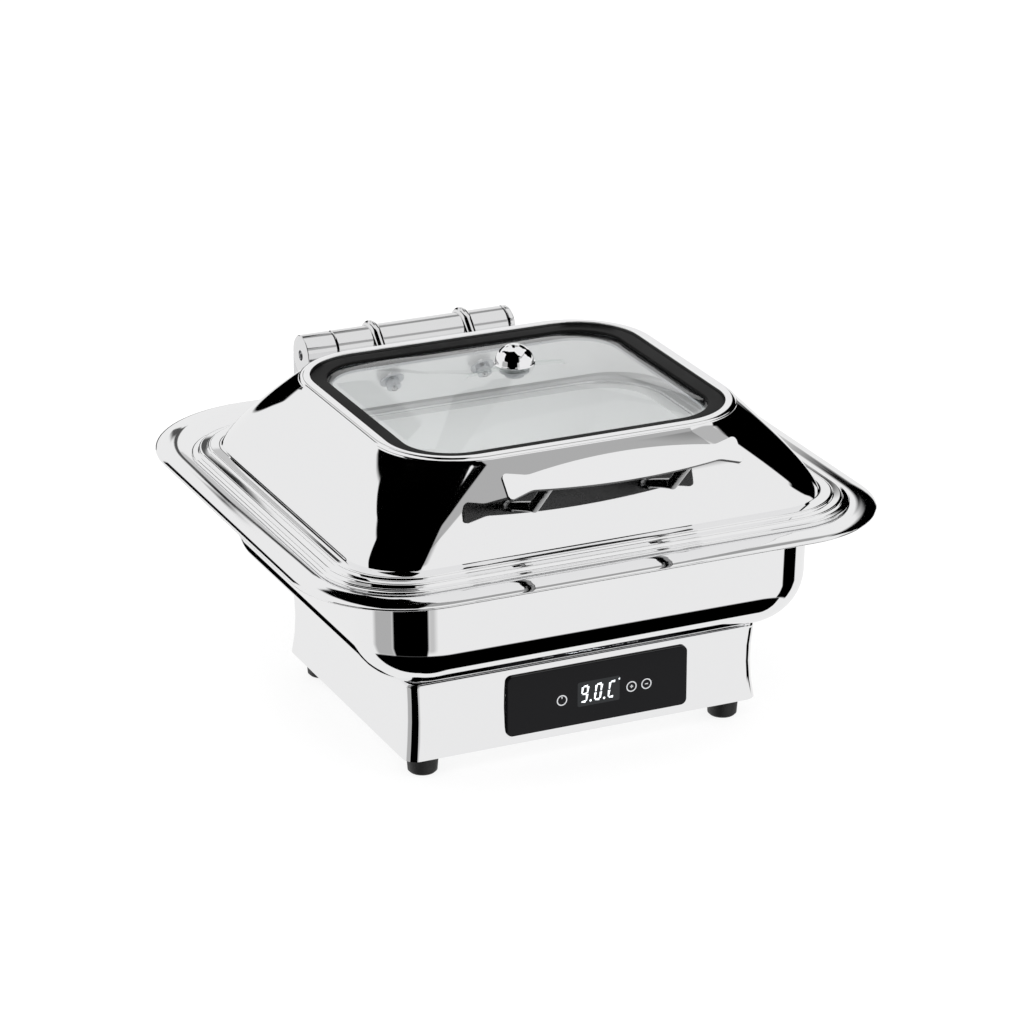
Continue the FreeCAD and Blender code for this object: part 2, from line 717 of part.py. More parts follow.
# Lid
def wall_inset(total, z):
    """Inset of the dome wall at a height."""
    return f"({total}) * ((({z}) - foot_z) / (plateau_z - dome_round_drop - foot_z)) ^ wall_curve"


def make_lid_shell():
    item = body("lid_shell")
    steps = [("0", "rim_z"), ("riser_run / 2", "tread_one_z - tread_fall"),
             ("tread_one_end", "tread_one_z"),
             ("tread_one_end + riser_run", "tread_two_z - tread_fall"), ("tread_two_end", "tread_two_z"),
             ("tread_two_end + riser_run", "foot_z - tread_fall"), ("foot_inset", "foot_z")]

    def step_ring(name, inset, z, thin):
        corner = f"rim_corner - (rim_corner - dome_foot_corner) * ({inset}) / foot_inset"
        return outline(item, name, f"rim_width - 2 * ({inset} + {thin})",
                       f"rim_depth - 2 * ({inset} + {thin})", corner, z, "pan_centre_y")
    rim = [step_ring(f"rim_{k}", inset, z, "0") for k, (inset, z) in enumerate(steps)]
    loft(item, "rim", rim, ruled=True)
    rise = "(plateau_z - dome_round_drop - foot_z)"

    def dome_ring(name, share, thin, drop):
        along = f"{share} ^ wall_curve"
        z = f"foot_z + {rise} * {share} - {drop}"
        wide, deep = "rim_width - 2 * foot_inset", "rim_depth - 2 * foot_inset"
        width = f"{wide} - ({wide} - plateau_width) * {along} - 2 * {thin}"
        depth = f"{deep} - ({deep} - plateau_depth) * {along} - 2 * {thin}"
        corner = f"dome_foot_corner + (plateau_corner - dome_foot_corner) * {share}"
        return outline(item, name, width, depth, corner, z, "pan_centre_y")
    shares = [k / 6 for k in range(6)] + [1]

    def edge_ring(name, angle, thin, drop):
        """Outline on the round between wall and plateau."""
        turn = f"dome_round * (1 - cos({angle}))"
        z = f"plateau_z - dome_round_drop * (1 - sin({angle})) - {drop}"
        width = f"plateau_width - 2 * ({turn}) - 2 * {thin}"
        depth = f"plateau_depth - 2 * ({turn}) - 2 * {thin}"
        return outline(item, name, width, depth, "plateau_corner", z, "pan_centre_y")
    outside = [dome_ring(f"dome_{k}", f"{share}", "0", "0") for k, share in enumerate(shares)]
    outside += [edge_ring(f"edge_{angle}", angle, "0", "0") for angle in (30, 60, 90)]
    loft(item, "dome", outside, ruled=True)
    inner_rim = [step_ring("under_low", "0", "rim_z - 1", "lid_sheet")]
    inner_rim += [step_ring(f"under_{k}", inset, f"{z} - 0.9", "0.9") for k, (inset, z) in enumerate(steps)]
    loft(item, "under_rim", inner_rim, cut=True, ruled=True)
    inside = [dome_ring("inner_low", "0", "lid_sheet * 1.15", "lid_sheet * 2")]
    inside += [dome_ring(f"inner_{k}", f"{share}", "lid_sheet * 1.15", "lid_sheet / 2")
               for k, share in enumerate(shares)]
    inside.append(edge_ring("inner_edge", 50, "lid_sheet * 1.15", "lid_sheet"))
    loft(item, "inside", inside, cut=True, ruled=True)
    lip = outline(item, "lip", "window_width + 2 * lid_sheet", "window_depth + 2 * lid_sheet",
                  "window_corner + lid_sheet", "lip_low_z", "pan_centre_y")
    pad(item, "lip_pad", lip, "plateau_z - lip_low_z")
    hole = outline(item, "hole", *window_size, "plateau_z", "pan_centre_y")
    pocket(item, "opening", hole, "40", middle=True)
    for side in (-1, 1):
        rod(item, f"post_hole_{side + 1}", "stud_radius + fit_gap", "30",
            (f"{side} * post_x", f"{post_foot_y} + 15 * sin({post_tilt})",
             f"post_z - 15 * cos({post_tilt})"),
            (1, 0, 0), post_tilt, cut=True)
        rod(item, f"arm_hole_{side + 1}", "stud_radius + fit_gap", "30",
            (f"{side} * arm_x", f"{arm_foot_y} - 15 * sin({arm_tilt})",
             f"arm_wall_z - 15 * cos({arm_tilt})"),
            (1, 0, 0), f"-({arm_tilt})", cut=True)


window_size = ("window_width", "window_depth", "window_corner")
post_foot_y = ("(pan_centre_y - (rim_depth - 2 * foot_inset) / 2 + "
               + wall_inset("(rim_depth - 2 * foot_inset - plateau_depth) / 2", "post_z") + ")")
arm_foot_y = ("(pan_centre_y + (rim_depth - 2 * foot_inset) / 2 - "
              + wall_inset("(rim_depth - 2 * foot_inset - plateau_depth) / 2", "arm_wall_z") + ")")
post_length = f"hypot({post_foot_y} - plate_y; plate_z - post_z)"
post_tilt = f"atan(({post_foot_y} - plate_y) / (plate_z - post_z))"
arm_reach = f"hypot(hinge_y - {arm_foot_y}; hinge_z - arm_wall_z)"
arm_rise = (f"(atan((hinge_z - arm_wall_z) / (hinge_y - {arm_foot_y})) + "
            f"asin(arm_wrap_radius / {arm_reach}))")
arm_tilt = f"(90 deg - {arm_rise})"
bracket_screw_y = "bracket_front_y + bracket_foot - 7.5"


def bracket_screw_x(side):
    if side < 0:
        return "-(bracket_left_out + bracket_left_in) / 2"
    return "(bracket_right_out + barrel_half + ring_gap) / 2"


def wall_lean(z):
    """Lean of the dome wall from upright at a height, front and back."""
    total = "((rim_depth - 2 * foot_inset - plateau_depth) / 2)"
    rise = "(plateau_z - dome_round_drop - foot_z)"
    share = f"((({z}) - foot_z) / {rise})"
    return f"atan({total} / {rise} * wall_curve * {share} ^ (wall_curve - 1))"


def make_window():
    item = body("window_gasket")
    ring = outline(item, "ring", *window_size, "band_z", "pan_centre_y")
    add_box(ring, "window_width - 2 * band_width", "window_depth - 2 * band_width",
            "window_corner - band_width")
    pad(item, "band", ring, "band_thickness", back=True)
    item = body("window_glass")
    under = "band_z - band_thickness"
    lap = outline(item, "lap", "window_width - 2 * (band_width - glass_lap)",
                  "window_depth - 2 * (band_width - glass_lap)", "window_corner - band_width + glass_lap",
                  under, "pan_centre_y")
    pad(item, "lap_pad", lap, "glass_thickness * 0.75", back=True)
    shares = (0, 0.12, 0.27, 0.45, 0.65, 0.82)

    def dome(name, share, thin, base):
        width = f"(window_width - 2 * (band_width + {thin})) * {1 - share}"
        depth = f"(window_depth - 2 * (band_width + {thin})) * {1 - share}"
        corner = f"(window_corner - band_width - {thin} / 2) * {1 - share} + 18 * {share} * {1 - share}"
        top = f"band_z + glass_crown - ({base})"
        z = f"({top}) - (({top}) - ({under}) + ({base}) * 0.75) * {(1 - share) ** 2}"
        return outline(item, name, width, depth, corner, z, "pan_centre_y")
    outside = [dome(f"out_{k}", s, "fit_gap", "0") for k, s in enumerate(shares)]
    loft(item, "dome", outside, ruled=True)
    inside = [dome(f"in_{k}", s, "3", "glass_thickness") for k, s in enumerate(shares)]
    loft(item, "hollow", inside, cut=True, ruled=True)
    hole = sketch(item, "vent_hole", "XY_Plane", "band_z + glass_crown", "0", "vent_y")
    add_disc(hole, "vent_stem_radius + fit_gap")
    pocket(item, "vent_bore", hole, "20", middle=True)
    item = body("glass_frame")
    top = f"{under} - glass_thickness * 0.75"
    ring = outline(item, "ring", *window_size, "lip_low_z", "pan_centre_y")
    add_box(ring, "window_width - 2 * band_width - 8", "window_depth - 2 * band_width - 8",
            "window_corner - band_width - 4")
    pad(item, "frame", ring, f"{top} - lip_low_z")
    rail = outline(item, "rail", *window_size, top, "pan_centre_y")
    add_box(rail, "window_width - 2 * (band_width - glass_lap)",
            "window_depth - 2 * (band_width - glass_lap)", "window_corner - band_width + glass_lap")
    pad(item, "rail_pad", rail, f"{under} - ({top})")


def make_vent():
    item = body("vent_cap")
    steps = 8
    points = [("0", "0"), ("vent_radius + 0.8", "0"), ("vent_radius + 0.8", "vent_skirt")]
    for k in range(steps):
        points.append((f"vent_radius * cos({90 * k / steps})",
                       f"vent_skirt + (vent_height - vent_skirt) * sin({90 * k / steps})"))
    points.append(("0", "vent_height"))
    turned(item, "cap", points)
    rod(item, "stem", "vent_stem_radius", "glass_thickness + 8", ("0", "0", "-glass_thickness - 7"))
    place(item, ("0", "vent_y", "band_z + glass_crown"))
    item = body("vent_nut")
    turned(item, "nut", [("vent_stem_radius", "0"), ("11", "0"), ("11", "-1.5"), ("7", "-1.5"), ("7", "-5"),
                         ("vent_stem_radius", "-5")])
    place(item, ("0", "vent_y", "band_z + glass_crown - glass_thickness - 0.7"))


def make_handle():
    item = body("handle_plate")
    side = sketch(item, "side", "XZ_Plane", "0")
    bow = "(plate_length ^ 2 / 8 / plate_bow)"
    radius = val(bow)
    half = val("plate_length / 2")
    thick = val("plate_thickness")
    reach = math.asin(half / radius)
    arcs = [Part.ArcOfCircle(Part.Circle(V(0, -radius, 0), V(0, 0, 1), radius + add),
                             math.pi / 2 - reach, math.pi / 2 + reach) for add in (0, thick)]
    ends = [(a.StartPoint, a.EndPoint) for a in arcs]
    lines = [Part.LineSegment(ends[0][0], ends[1][0]), Part.LineSegment(ends[1][1], ends[0][1])]
    side.addGeometry(arcs + lines, False)
    joins = ((2, 1, 0, 1), (2, 2, 1, 1), (3, 1, 1, 2), (3, 2, 0, 2), (0, 3, 1, 3))
    side.addConstraint([Sketcher.Constraint("Coincident", *join) for join in joins])
    bind(side, "Radius", (0,), bow)
    bind(side, "Radius", (1,), f"{bow} + plate_thickness")
    bind(side, "DistanceX", (-1, 1, 0, 3), "0")
    bind(side, "DistanceY", (-1, 1, 0, 3), f"-{bow}")
    bind(side, "DistanceX", (-1, 1, 0, 1), "plate_length / 2")
    bind(side, "DistanceX", (0, 2, -1, 1), "plate_length / 2")
    bind(side, "DistanceX", (-1, 1, 1, 1), "plate_length / 2")
    bind(side, "DistanceX", (1, 2, -1, 1), "plate_length / 2")
    pad(item, "blank", side, "plate_middle_height + 4", middle=True)
    cutter = sketch(item, "waist", "XY_Plane", "0")
    trim = "plate_length / 2 + 10"
    tall = "plate_middle_height"
    for up in (1, -1):
        add_waist(cutter, up, trim, tall)
    pocket(item, "outline", cutter, "60", middle=True)

    def upright_at(x):
        spot = val(x)
        return lambda box: abs(abs(box.Center.x) - spot) < 1 and box.ZLength > 2

    soften(item, "neck_rounds", item.Tip, upright_at("plate_neck_x"), "14")
    soften(item, "tip_rounds", item.Tip, upright_at("plate_length / 2"), "3")
    place(item, ("0", "plate_y", "plate_z"), (1, 0, 0), post_tilt)
    lean = f"({wall_lean('post_z')} - (90 deg - {post_tilt}))"
    for name, k in (("left", -1), ("right", 1)):
        post = body(f"handle_post_{name}")
        bowed = f"({bow} - sqrt({bow} ^ 2 - post_x ^ 2))"
        top = f"{post_length} - {bowed} - 0.3"
        collar = f"{post_length} - {bowed} - 4"
        turned(post, "column", [("0", "-4"), ("post_radius", "-4"), ("post_radius", collar),
                                ("post_collar_radius", collar), ("post_collar_radius", top), ("0", top)])
        wedge = sketch(post, "wedge", "YZ_Plane", "0")
        drop = f"12 * tan(abs({lean}))"
        add_loop(wedge, [("-12", f"0.15 - {drop}"), ("12", f"0.15 + {drop}"), ("12", "-20"), ("-12", "-20")])
        pocket(post, "wall_seat", wedge, "20", middle=True)
        rod(post, "stud", "stud_radius", "stud_length + 3", ("0", "0", "-stud_length"))
        place(post, (f"{k} * post_x", post_foot_y, "post_z"), (1, 0, 0), post_tilt)
    lid_fixings("handle", "post_x", post_foot_y, "post_z", post_tilt)


def add_waist(out, up, trim, tall):
    """Outline above or below the handle plate that is cut away."""
    first = out.GeometryCount
    neck, end, mid = "plate_neck_height / 2", "plate_end_height / 2", "plate_middle_height / 2"
    rise = f"({mid} - {neck})"
    arc_r = f"(plate_neck_x ^ 2 + {rise} ^ 2) / (2 * {rise})"
    r = val(arc_r)
    half = val("plate_length / 2")
    centre = V(0, up * (val(mid) - r), 0)
    span = math.asin(val("plate_neck_x") / r)
    middle = up * math.pi / 2
    arc = Part.ArcOfCircle(Part.Circle(centre, V(0, 0, 1), r), middle - span, middle + span)
    right, left = (arc.StartPoint, arc.EndPoint) if up > 0 else (arc.EndPoint, arc.StartPoint)
    far, low, high = val(trim), up * val(end), up * val(tall)
    spots = [left, V(-half, low, 0), V(-far, low, 0), V(-far, high, 0),
             V(far, high, 0), V(far, low, 0), V(half, low, 0), right]
    out.addGeometry([arc] + [Part.LineSegment(spots[k], spots[k + 1]) for k in range(7)], False)
    start, stop = (1, 2) if up < 0 else (2, 1)
    ties = [Sketcher.Constraint("Coincident", first, start, first + 1, 1),
            Sketcher.Constraint("Coincident", first, stop, first + 7, 2)]
    ties += [Sketcher.Constraint("Coincident", first + k, 2, first + k + 1, 1) for k in range(1, 7)]
    out.addConstraint(ties)
    sign = "" if up > 0 else "-"
    bind(out, "Radius", (first,), arc_r)
    places = [("-plate_neck_x", neck), ("-plate_length / 2", end), (f"-({trim})", end),
              (f"-({trim})", tall), (trim, tall), (trim, end), ("plate_length / 2", end)]
    for k, (x, y) in enumerate(places):
        bind(out, "DistanceX", (-1, 1, first + 1 + k, 1), x)
        bind(out, "DistanceY", (-1, 1, first + 1 + k, 1), f"{sign}({y})")
    bind(out, "DistanceX", (-1, 1, first + 7, 2), "plate_neck_x")
    bind(out, "DistanceY", (-1, 1, first + 7, 2), f"{sign}({neck})")


def lid_fixings(name, x, foot_y, foot_z, tilt):
    """Washers and nuts inside the lid on a pair of studs."""
    for kind in ("washers", "nuts"):
        item = body(f"{name}_{kind}")
        seat = "lid_sheet + washer_radius * 0.3"
        if kind == "washers":
            points = [("stud_radius", f"-({seat})"), ("washer_radius * 0.75", f"-({seat})"),
                      ("washer_radius * 0.75", f"-({seat}) - washer_thickness"),
                      ("stud_radius", f"-({seat}) - washer_thickness")]
        else:
            low = f"-({seat}) - washer_thickness"
            points = [("stud_radius", low), ("nut_radius", low), ("nut_radius", f"{low} - nut_height"),
                      ("stud_radius", f"{low} - nut_height")]
        ring = turned(item, "ring", points, f"-({x})")
        spread(item, "pair", [ring], f"2 * {x}", "0")
        place(item, ("0", foot_y, foot_z), (1, 0, 0), tilt)


# Hinge
def make_hinge():
    spot = ("0", "hinge_y", "hinge_z")

    def tube(name, start, length, radius, bore):
        item = body(name)
        ring = sketch(item, "ring", "YZ_Plane", start)
        add_disc(ring, radius)
        if bore:
            add_disc(ring, bore)
        pad(item, "tube", ring, length)
        place(item, spot)
        return item
    past_barrel = "barrel_half + ring_gap"
    shells = (("hinge_barrel", "-barrel_half", "2 * barrel_half", "barrel_bore"),
              ("hinge_end_left", "-left_end_x", f"left_end_x - ({past_barrel})", "axle_radius"),
              ("hinge_end_right", past_barrel, f"right_end_x - ({past_barrel})", "axle_radius"))
    for name, start, length, bore in shells:
        shell = tube(name, start, length, "tube_radius", bore)
        soften(shell, "ends", shell.Tip, lambda box: box.XLength < 0.01 and box.YLength > 25,
               "0.8", chamfer=True)
    tube("hinge_axle", "-left_end_x + 2", "left_end_x + right_end_x - 3", "axle_radius", "")
    bore = "axle_radius + axle_clearance"
    tube("hinge_bush_left", "-barrel_half", "bush_length", "barrel_bore", bore)
    tube("hinge_bush_right", "barrel_half - bush_length", "bush_length", "barrel_bore", bore)
    tube("hinge_damper", "-40", "80", "barrel_bore - 0.8", "axle_radius")
    for name, near, far in (("left", "-bracket_left_in", "-bracket_left_out"),
                            ("right", past_barrel, "bracket_right_out")):
        item = body(f"hinge_bracket_{name}")
        out = sketch(item, "side", "YZ_Plane", f"({near} + {far}) / 2")
        front, base = "bracket_front_y", "flange_top_z"
        add_loop(out, [(front, base), (f"{front} + bracket_foot", base),
                       (f"{front} + bracket_foot", f"{base} + bracket_foot_thickness"),
                       (f"{front} + bracket_column + 3", f"{base} + bracket_foot_thickness"),
                       (f"{front} + bracket_column", f"{base} + bracket_foot_thickness + 5"),
                       (f"{front} + bracket_column", "hinge_z - 5"),
                       (f"{front} + bracket_column - 4", "hinge_z"), (front, "hinge_z")])
        pad(item, "column", out, f"abs(({far}) - ({near}))", middle=True)
        cradle = sketch(item, "cradle", "YZ_Plane", f"({near} + {far}) / 2", "hinge_y", "hinge_z")
        add_disc(cradle, "tube_radius")
        pocket(item, "cradle_cut", cradle, "60", middle=True)
        hole = sketch(item, "hole", "XY_Plane", "flange_top_z")
        add_disc(hole, "2.7", bracket_screw_x(-1 if name == "left" else 1), bracket_screw_y)
        pocket(item, "screw_hole", hole, "20", middle=True)
    item = body("bracket_screws")
    top = "flange_top_z + bracket_foot_thickness"
    for side in (-1, 1):
        where = (bracket_screw_x(side), bracket_screw_y)
        rod(item, f"head_{side + 1}", "4.2", "3", (*where, top))
        rod(item, f"shank_{side + 1}", "2.5", "bracket_foot_thickness + 6.5",
            (*where, "flange_top_z - 6"))
        rod(item, f"nut_{side + 1}", "4.2", "3", (*where, "flange_top_z - steel_sheet - 3"))
    for name, side in (("left", -1), ("right", 1)):
        make_arm(name, side)
    lid_fixings("arm", "arm_x", arm_foot_y, "arm_wall_z", f"-({arm_tilt})")


def make_arm(name, side):
    """Round rod that wraps over the hinge tube and runs to the lid."""
    item = body(f"hinge_arm_{name}")
    x = f"{side} * arm_x"
    path = sketch(item, "path", "YZ_Plane", x)
    rise = val(arm_rise)
    wrap = val("arm_wrap_radius")
    hy, hz = val("hinge_y"), val("hinge_z")
    foot = V(val(arm_foot_y), val("arm_wall_z"), 0)
    start = math.radians(90 - val("arm_wrap_angle"))
    arc = Part.ArcOfCircle(Part.Circle(V(hy, hz, 0), V(0, 0, 1), wrap), start, math.radians(90 + rise))
    path.addGeometry([arc, Part.LineSegment(arc.EndPoint, foot)], False)
    path.addConstraint(Sketcher.Constraint("Tangent", 0, 2, 1, 1))
    bind(path, "DistanceX", (-1, 1, 0, 3), "hinge_y")
    bind(path, "DistanceY", (-1, 1, 0, 3), "hinge_z")
    bind(path, "Radius", (0,), "arm_wrap_radius")
    bind(path, "DistanceX", (-1, 1, 1, 2), arm_foot_y)
    bind(path, "DistanceY", (-1, 1, 1, 2), "arm_wall_z")
    bind(path, "DistanceX", (0, 3, 0, 1), "arm_wrap_radius * sin(arm_wrap_angle)")
    ring = item.newObject("Sketcher::SketchObject", "section")
    ring.AttachmentSupport = [(datum(item, "YZ_Plane"), "")]
    ring.MapMode = "FlatFace"
    across = FreeCAD.Rotation(V(math.cos(start), math.sin(start), 0), 90)
    ring.AttachmentOffset = FreeCAD.Placement(arc.StartPoint + V(0, 0, val(x)), across)
    add_disc(ring, "arm_radius")
    sweep = item.newObject("PartDesign::AdditivePipe", "sweep")
    sweep.Profile = ring
    sweep.Spine = path
    doc.recompute()
    saddle = sketch(item, "saddle", "YZ_Plane", x, "hinge_y", "hinge_z")
    add_disc(saddle, "tube_radius")
    pocket(item, "saddle_cut", saddle, "40", middle=True)
    seat = sketch(item, "seat", "YZ_Plane", x, arm_foot_y, "arm_wall_z")
    wall = wall_lean("arm_wall_z")
    run, climb = f"20 * sin({wall})", f"20 * cos({wall})"
    add_loop(seat, [(f"{run} + 0.15", f"-({climb})"), (f"-({run}) + 0.15", climb),
                    ("-30", climb), ("-30", f"-({climb})")])
    pocket(item, "wall_seat", seat, "30", middle=True)
    rod(item, "stud", "stud_radius", "stud_length + 4",
        (x, f"{arm_foot_y} - stud_length * sin({arm_tilt})",
         f"arm_wall_z - stud_length * cos({arm_tilt})"),
        (1, 0, 0), f"-({arm_tilt})")


make_base_shell()
make_bottom_plate()
make_feet()
make_foot_screws()
make_panel()
make_heater()
make_inlet()
make_water_pan()
make_food_pan()
make_lid_shell()
make_window()
make_vent()
make_handle()
make_hinge()
doc.recompute()

for item in doc.Objects:
    if "Invalid" in item.State or "Error" in item.State:
        raise ValueError(f"{item.Label} did not build: {item.State}")
for item in parts:
    if item.Shape.isNull() or not item.Shape.isValid():
        raise ValueError(f"{item.Label} has no valid shape")
    item.Shape.exportStep(f"parts/{item.Label}.step")
print(len(parts), "parts")
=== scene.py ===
import json
import math

import bmesh
import bpy
from mathutils import Matrix, Vector

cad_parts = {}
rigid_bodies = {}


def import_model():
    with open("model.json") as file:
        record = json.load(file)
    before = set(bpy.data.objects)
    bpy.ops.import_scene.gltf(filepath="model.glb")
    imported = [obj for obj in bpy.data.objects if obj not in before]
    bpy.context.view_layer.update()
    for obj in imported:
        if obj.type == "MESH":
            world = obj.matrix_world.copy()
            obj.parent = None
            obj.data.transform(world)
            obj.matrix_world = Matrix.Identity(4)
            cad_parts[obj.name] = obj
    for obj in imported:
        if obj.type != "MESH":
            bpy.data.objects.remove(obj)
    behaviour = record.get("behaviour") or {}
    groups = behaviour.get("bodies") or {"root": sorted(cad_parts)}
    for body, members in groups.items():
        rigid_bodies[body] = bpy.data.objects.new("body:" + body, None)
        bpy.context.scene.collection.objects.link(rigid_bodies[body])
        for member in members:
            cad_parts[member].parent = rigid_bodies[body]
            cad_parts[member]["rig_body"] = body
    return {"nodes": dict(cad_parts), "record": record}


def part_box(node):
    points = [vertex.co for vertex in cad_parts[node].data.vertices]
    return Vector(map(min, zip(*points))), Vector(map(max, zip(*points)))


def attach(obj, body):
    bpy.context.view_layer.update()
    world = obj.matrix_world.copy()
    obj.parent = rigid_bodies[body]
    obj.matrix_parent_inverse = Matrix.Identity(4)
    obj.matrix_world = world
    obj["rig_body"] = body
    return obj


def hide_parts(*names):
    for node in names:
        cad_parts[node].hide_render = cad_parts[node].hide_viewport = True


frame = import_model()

bl_info = {
    "name": "Electric Chafing Dish",
    "version": (1, 0, 0),
    "blender": (4, 5, 0),
    "location": "View3D > Sidebar > Dish",
    "description": "Builds the looks of an electric chafing dish around its solid model",
    "category": "Object",
}

MM = 0.001
TURN = 2 * math.pi
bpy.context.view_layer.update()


def lerp(a, b, share):
    """Value at a share of the way from a to b."""
    return a + (b - a) * share


def mm(length):
    """Length in metres as millimetres, to the nearest thousandth."""
    return round(length / MM, 3)


def box_of(node):
    """Half width, half depth, middle in y, and lowest and highest level of a solid model node."""
    low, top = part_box(node)
    return mm((top.x - low.x) / 2), mm((top.y - low.y) / 2), mm((top.y + low.y) / 2), mm(low.z), mm(top.z)


# Meshes
def new_object(name, bm, material, body=None, replaces=()):
    """Turn a bmesh into a smooth shaded piece that rides on a body."""
    bmesh.ops.remove_doubles(bm, verts=bm.verts, dist=1e-6)
    bmesh.ops.recalc_face_normals(bm, faces=bm.faces)
    mesh = bpy.data.meshes.new(name)
    bm.to_mesh(mesh)
    bm.free()
    mesh.shade_smooth()
    piece = bpy.data.objects.new(name, mesh)
    bpy.context.scene.collection.objects.link(piece)
    mesh.materials.append(material)
    if body:
        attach(piece, body)
    if replaces:
        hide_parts(*replaces)
    return piece


def add_weights(piece, sharp=30):
    """Keep flat areas flat under smooth shading, and edges over the sharp angle crisp."""
    piece.data.set_sharp_from_angle(angle=math.radians(sharp))
    mod = piece.modifiers.new("Normals", "WEIGHTED_NORMAL")
    mod.keep_sharp = True
    mod.weight = 100


def add_sheet(piece, thickness, even=True):
    """Give a surface its thickness in metres, inwards."""
    mod = piece.modifiers.new("Sheet", "SOLIDIFY")
    mod.thickness = thickness
    mod.offset = -1
    mod.use_even_offset = even
    return mod


def ring_point(index, steps, half_x, half_y, front, back, centre_y):
    """Point of a rounded rectangle, with its own front and back corner radii.

    Each corner has a guard point just before and after its arc."""
    corner, step = divmod(index, steps + 3)
    sx = 1 if corner in (0, 3) else -1
    sy = 1 if corner in (0, 1) else -1
    radius = back if sy > 0 else front
    mid = Vector((sx * (half_x - radius), sy * (half_y - radius)))
    share = min(max(step - 1, 0), steps) / steps
    angle = (corner + share) * math.pi / 2
    spot = mid + radius * Vector((math.cos(angle), math.sin(angle)))
    guard = 2.5 * ((step == steps + 2) - (step == 0))
    spot += guard * Vector((-math.sin(angle), math.cos(angle)))
    return spot.x, spot.y + centre_y


def loft_rings(rings, steps, cap_first=False, cap_last=False):
    """Surface through level rounded rectangles given in millimetres.

    Each ring is half width, half depth, front corner, back corner, height and centre y."""
    bm = bmesh.new()
    made = bmesh.ops.create_circle(bm, cap_ends=False, radius=1, segments=4 * (steps + 3))
    order = {vert: index for index, vert in enumerate(made["verts"])}

    def move(verts, ring):
        half_x, half_y, front, back, z, centre_y = ring
        for vert, index in verts.items():
            x, y = ring_point(index, steps, half_x, half_y, front, back, centre_y)
            vert.co = (x * MM, y * MM, z * MM)

    edges = list(bm.edges)
    move(order, rings[0])
    if cap_first:
        bmesh.ops.contextual_create(bm, geom=edges)
    for ring in rings[1:]:
        grown = bmesh.ops.extrude_edge_only(bm, edges=edges)["geom"]
        fresh = {}
        for vert in (g for g in grown if isinstance(g, bmesh.types.BMVert)):
            old = next(e.other_vert(vert) for e in vert.link_edges if e.other_vert(vert) in order)
            fresh[vert] = order[old]
        edges = [g for g in grown if isinstance(g, bmesh.types.BMEdge)]
        edges = [e for e in edges if all(v in fresh for v in e.verts)]
        order = fresh
        move(order, ring)
    if cap_last:
        bmesh.ops.contextual_create(bm, geom=edges)
    return bm


def spin_profile(points, steps=64):
    """Surface of revolution about Z from radius and height pairs in millimetres."""
    bm = bmesh.new()
    verts = [bm.verts.new((r * MM, 0, z * MM)) for r, z in points]
    edges = [bm.edges.new(pair) for pair in zip(verts, verts[1:])]
    bmesh.ops.spin(bm, geom=verts + edges, cent=(0, 0, 0), axis=(0, 0, 1), angle=TURN, steps=steps)
    bmesh.ops.remove_doubles(bm, verts=bm.verts, dist=1e-6)
    return bm


def merged_copy(node, material, sharp=30):
    """Smooth shaded copy of a solid model node, which it stands for."""
    source = frame["nodes"][node]
    bm = bmesh.new()
    bm.from_mesh(source.data)
    bmesh.ops.remove_doubles(bm, verts=bm.verts, dist=1e-6)
    piece = new_object(node + "_skin", bm, material, source["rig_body"], (node,))
    add_weights(piece, sharp)
    return piece


# Shared shading effects
def new_group(name, inputs, outputs):
    """Empty node group with number inputs and the named outputs."""
    group = bpy.data.node_groups.new(name, "ShaderNodeTree")
    for label, kind, value in inputs:
        socket = group.interface.new_socket(label, in_out="INPUT", socket_type=kind)
        if value is not None:
            socket.default_value = value
    for label, kind in outputs:
        group.interface.new_socket(label, in_out="OUTPUT", socket_type=kind)
    return group, group.nodes.new("NodeGroupInput"), group.nodes.new("NodeGroupOutput")


def add_math(tree, kind, first, second=None, third=None, clamp=False):
    """One math node with numbers or links on its inputs."""
    node = tree.nodes.new("ShaderNodeMath")
    node.operation = kind
    node.use_clamp = clamp
    for socket, value in zip(node.inputs, (first, second, third)):
        if isinstance(value, (int, float)):
            socket.default_value = value
        elif value is not None:
            tree.links.new(value, socket)
    return node.outputs[0]


def add_roughness(group, entry, out, pattern, low, high):
    """Spread a pattern over the group's two roughness values."""
    spread = group.nodes.new("ShaderNodeMapRange")
    spread.inputs["From Min"].default_value = low
    spread.inputs["From Max"].default_value = high
    group.links.new(pattern, spread.inputs["Value"])
    group.links.new(entry.outputs["Low"], spread.inputs["To Min"])
    group.links.new(entry.outputs["High"], spread.inputs["To Max"])
    group.links.new(spread.outputs[0], out.inputs["Roughness"])


def add_relief(group, out, pattern, strength, distance):
    """Turn a pattern into the group's normal."""
    bump = group.nodes.new("ShaderNodeBump")
    bump.inputs["Distance"].default_value = distance
    group.links.new(strength, bump.inputs["Strength"])
    group.links.new(pattern, bump.inputs["Height"])
    group.links.new(bump.outputs[0], out.inputs["Normal"])


